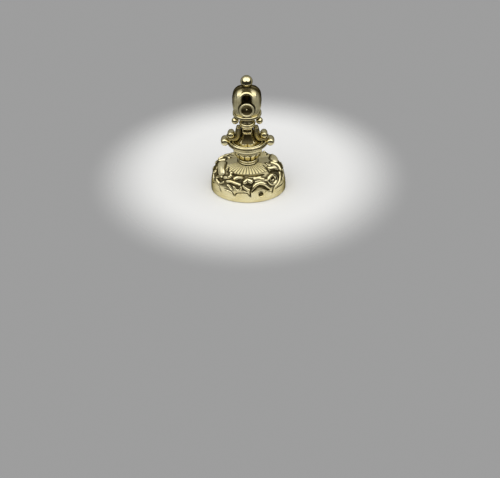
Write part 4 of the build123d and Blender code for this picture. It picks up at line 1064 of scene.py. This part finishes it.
# Stage
# A round pale floor that fades into a grey surround. The light is soft and white: bright overhead and at
# the sides, grey behind as the surround is, and dark in front.
FLOOR_COLOUR = (0.78, 0.78, 0.77)
FLOOR_FADE = 0.026
FLOOR_REACH = 0.05
FLOOR_BACK = 0.009
SURROUND = 0.34
floor_turn = np.linspace(0, 2 * np.pi, 64, endpoint=False)
floor_edge = np.stack([FLOOR_REACH * np.cos(floor_turn), FLOOR_BACK + FLOOR_REACH * np.sin(floor_turn),
                       np.zeros(64)], axis=-1)
floor_mesh = bpy.data.meshes.new("floor")
floor_mesh.from_pydata(floor_edge.tolist(), [], [tuple(range(64))])
floor = bpy.data.objects.new("floor", floor_mesh)
bpy.context.scene.collection.objects.link(floor)
floor_finish, floor_tree, floor_shader = new_finish("floor_paper")
floor_shader.inputs["Base Color"].default_value = (*FLOOR_COLOUR, 1.0)
floor_shader.inputs["Roughness"].default_value = 0.9
floor_shader.inputs["Specular IOR Level"].default_value = 0.1
floor_far = floor_tree.nodes.new("ShaderNodeVectorMath")
floor_far.operation = "DISTANCE"
floor_far.inputs[1].default_value = (0.0, FLOOR_BACK, 0.0)
floor_tree.links.new(floor_tree.nodes.new("ShaderNodeTexCoord").outputs["Object"], floor_far.inputs[0])
floor_fade = add_node(floor_tree, "ShaderNodeMapRange", From_Min=FLOOR_FADE, From_Max=FLOOR_REACH)
floor_fade.interpolation_type = "SMOOTHSTEP"
floor_tree.links.new(floor_far.outputs["Value"], floor_fade.inputs["Value"])
floor_mix = floor_tree.nodes.new("ShaderNodeMixShader")
floor_tree.links.new(floor_fade.outputs["Result"], floor_mix.inputs[0])
floor_tree.links.new(floor_shader.outputs["BSDF"], floor_mix.inputs[1])
floor_tree.links.new(floor_tree.nodes.new("ShaderNodeBsdfTransparent").outputs["BSDF"], floor_mix.inputs[2])
floor_tree.links.new(floor_mix.outputs[0], floor_tree.nodes["Material Output"].inputs["Surface"])
floor_mesh.materials.append(floor_finish)

SKY_STRENGTH = 1.7
LIGHT_FRONT = 0.45
LIGHT_SIDES = 0.5
LIGHT_EDGE = 0.92
LIGHT_SOFTNESS = 0.08
HORIZON_STRENGTH = 0.03
BEHIND_START = -0.1
BEHIND_FULL = 0.5
world = bpy.data.worlds.new("studio")
bpy.context.scene.world = world
world.use_nodes = True
sky = world.node_tree
shine = sky.nodes["Background"]
shine.inputs["Color"].default_value = (1.0, 1.0, 1.0, 1.0)
parts = sky.nodes.new("ShaderNodeSeparateXYZ")
sky.links.new(sky.nodes.new("ShaderNodeTexCoord").outputs["Generated"], parts.inputs["Vector"])


def times_plus(factor, value, addend):
    """A socket that holds a value times a factor, plus an addend."""
    node = sky.nodes.new("ShaderNodeMath")
    node.operation = "MULTIPLY_ADD"
    sky.links.new(value, node.inputs[0])
    node.inputs[1].default_value = factor
    sky.links.new(addend, node.inputs[2])
    return node.outputs["Value"]


aside = sky.nodes.new("ShaderNodeMath")
aside.operation = "ABSOLUTE"
sky.links.new(parts.outputs["X"], aside.inputs[0])
lit = times_plus(LIGHT_SIDES, aside.outputs["Value"], parts.outputs["Z"])
lit = times_plus(-LIGHT_FRONT, parts.outputs["Y"], lit)
overhead = add_node(sky, "ShaderNodeMapRange", From_Min=LIGHT_EDGE - LIGHT_SOFTNESS,
                    From_Max=LIGHT_EDGE + LIGHT_SOFTNESS, To_Min=HORIZON_STRENGTH, To_Max=SKY_STRENGTH)
behind = add_node(sky, "ShaderNodeMapRange", From_Min=BEHIND_START, From_Max=BEHIND_FULL,
                  To_Min=HORIZON_STRENGTH, To_Max=SURROUND)
both = sky.nodes.new("ShaderNodeMath")
both.operation = "MAXIMUM"
for socket, zone, value in zip(both.inputs, (overhead, behind), (lit, parts.outputs["Y"])):
    zone.interpolation_type = "SMOOTHSTEP"
    sky.links.new(value, zone.inputs["Value"])
    sky.links.new(zone.outputs["Result"], socket)
choose = sky.nodes.new("ShaderNodeMix")
sky.links.new(sky.nodes.new("ShaderNodeLightPath").outputs["Is Camera Ray"], choose.inputs["Factor"])
sky.links.new(both.outputs["Value"], choose.inputs[2])
choose.inputs[3].default_value = SURROUND
sky.links.new(choose.outputs[0], shine.inputs["Strength"])


# Camera
# The photograph's view of the front, from 34 degrees above, with its aim and roll. Distances are in
# metres, and the focal length is in pixels of the 500 pixel wide frame.
VIEW_RISE = 34.0
VIEW_SIDE = 1.5
VIEW_DISTANCE = 0.26
LOOK_DOWN = 37.46
LOOK_SIDE = -0.052
ROLL = -1.0
SENSOR = 36.0
FOCAL_PIXELS = 874.0
IMAGE_WIDTH = 500
camera_data = bpy.data.cameras.new("view")
camera_data.sensor_width = SENSOR
camera_data.lens = FOCAL_PIXELS * SENSOR / IMAGE_WIDTH
camera_data.clip_start = 0.01
camera = bpy.data.objects.new("view", camera_data)
rise, side = np.radians([VIEW_RISE, VIEW_SIDE])
view_way = np.array([np.sin(side) * np.cos(rise), -np.cos(side) * np.cos(rise), np.sin(rise)])
camera.matrix_world = (Matrix.Translation(VIEW_DISTANCE * view_way)
                       @ Matrix.Rotation(side + np.radians(LOOK_SIDE), 4, "Z")
                       @ Matrix.Rotation(np.radians(90 - LOOK_DOWN), 4, "X")
                       @ Matrix.Rotation(np.radians(ROLL), 4, "Z"))
bpy.context.scene.collection.objects.link(camera)
bpy.context.scene.camera = camera
bpy.context.scene.view_settings.view_transform = "Standard"
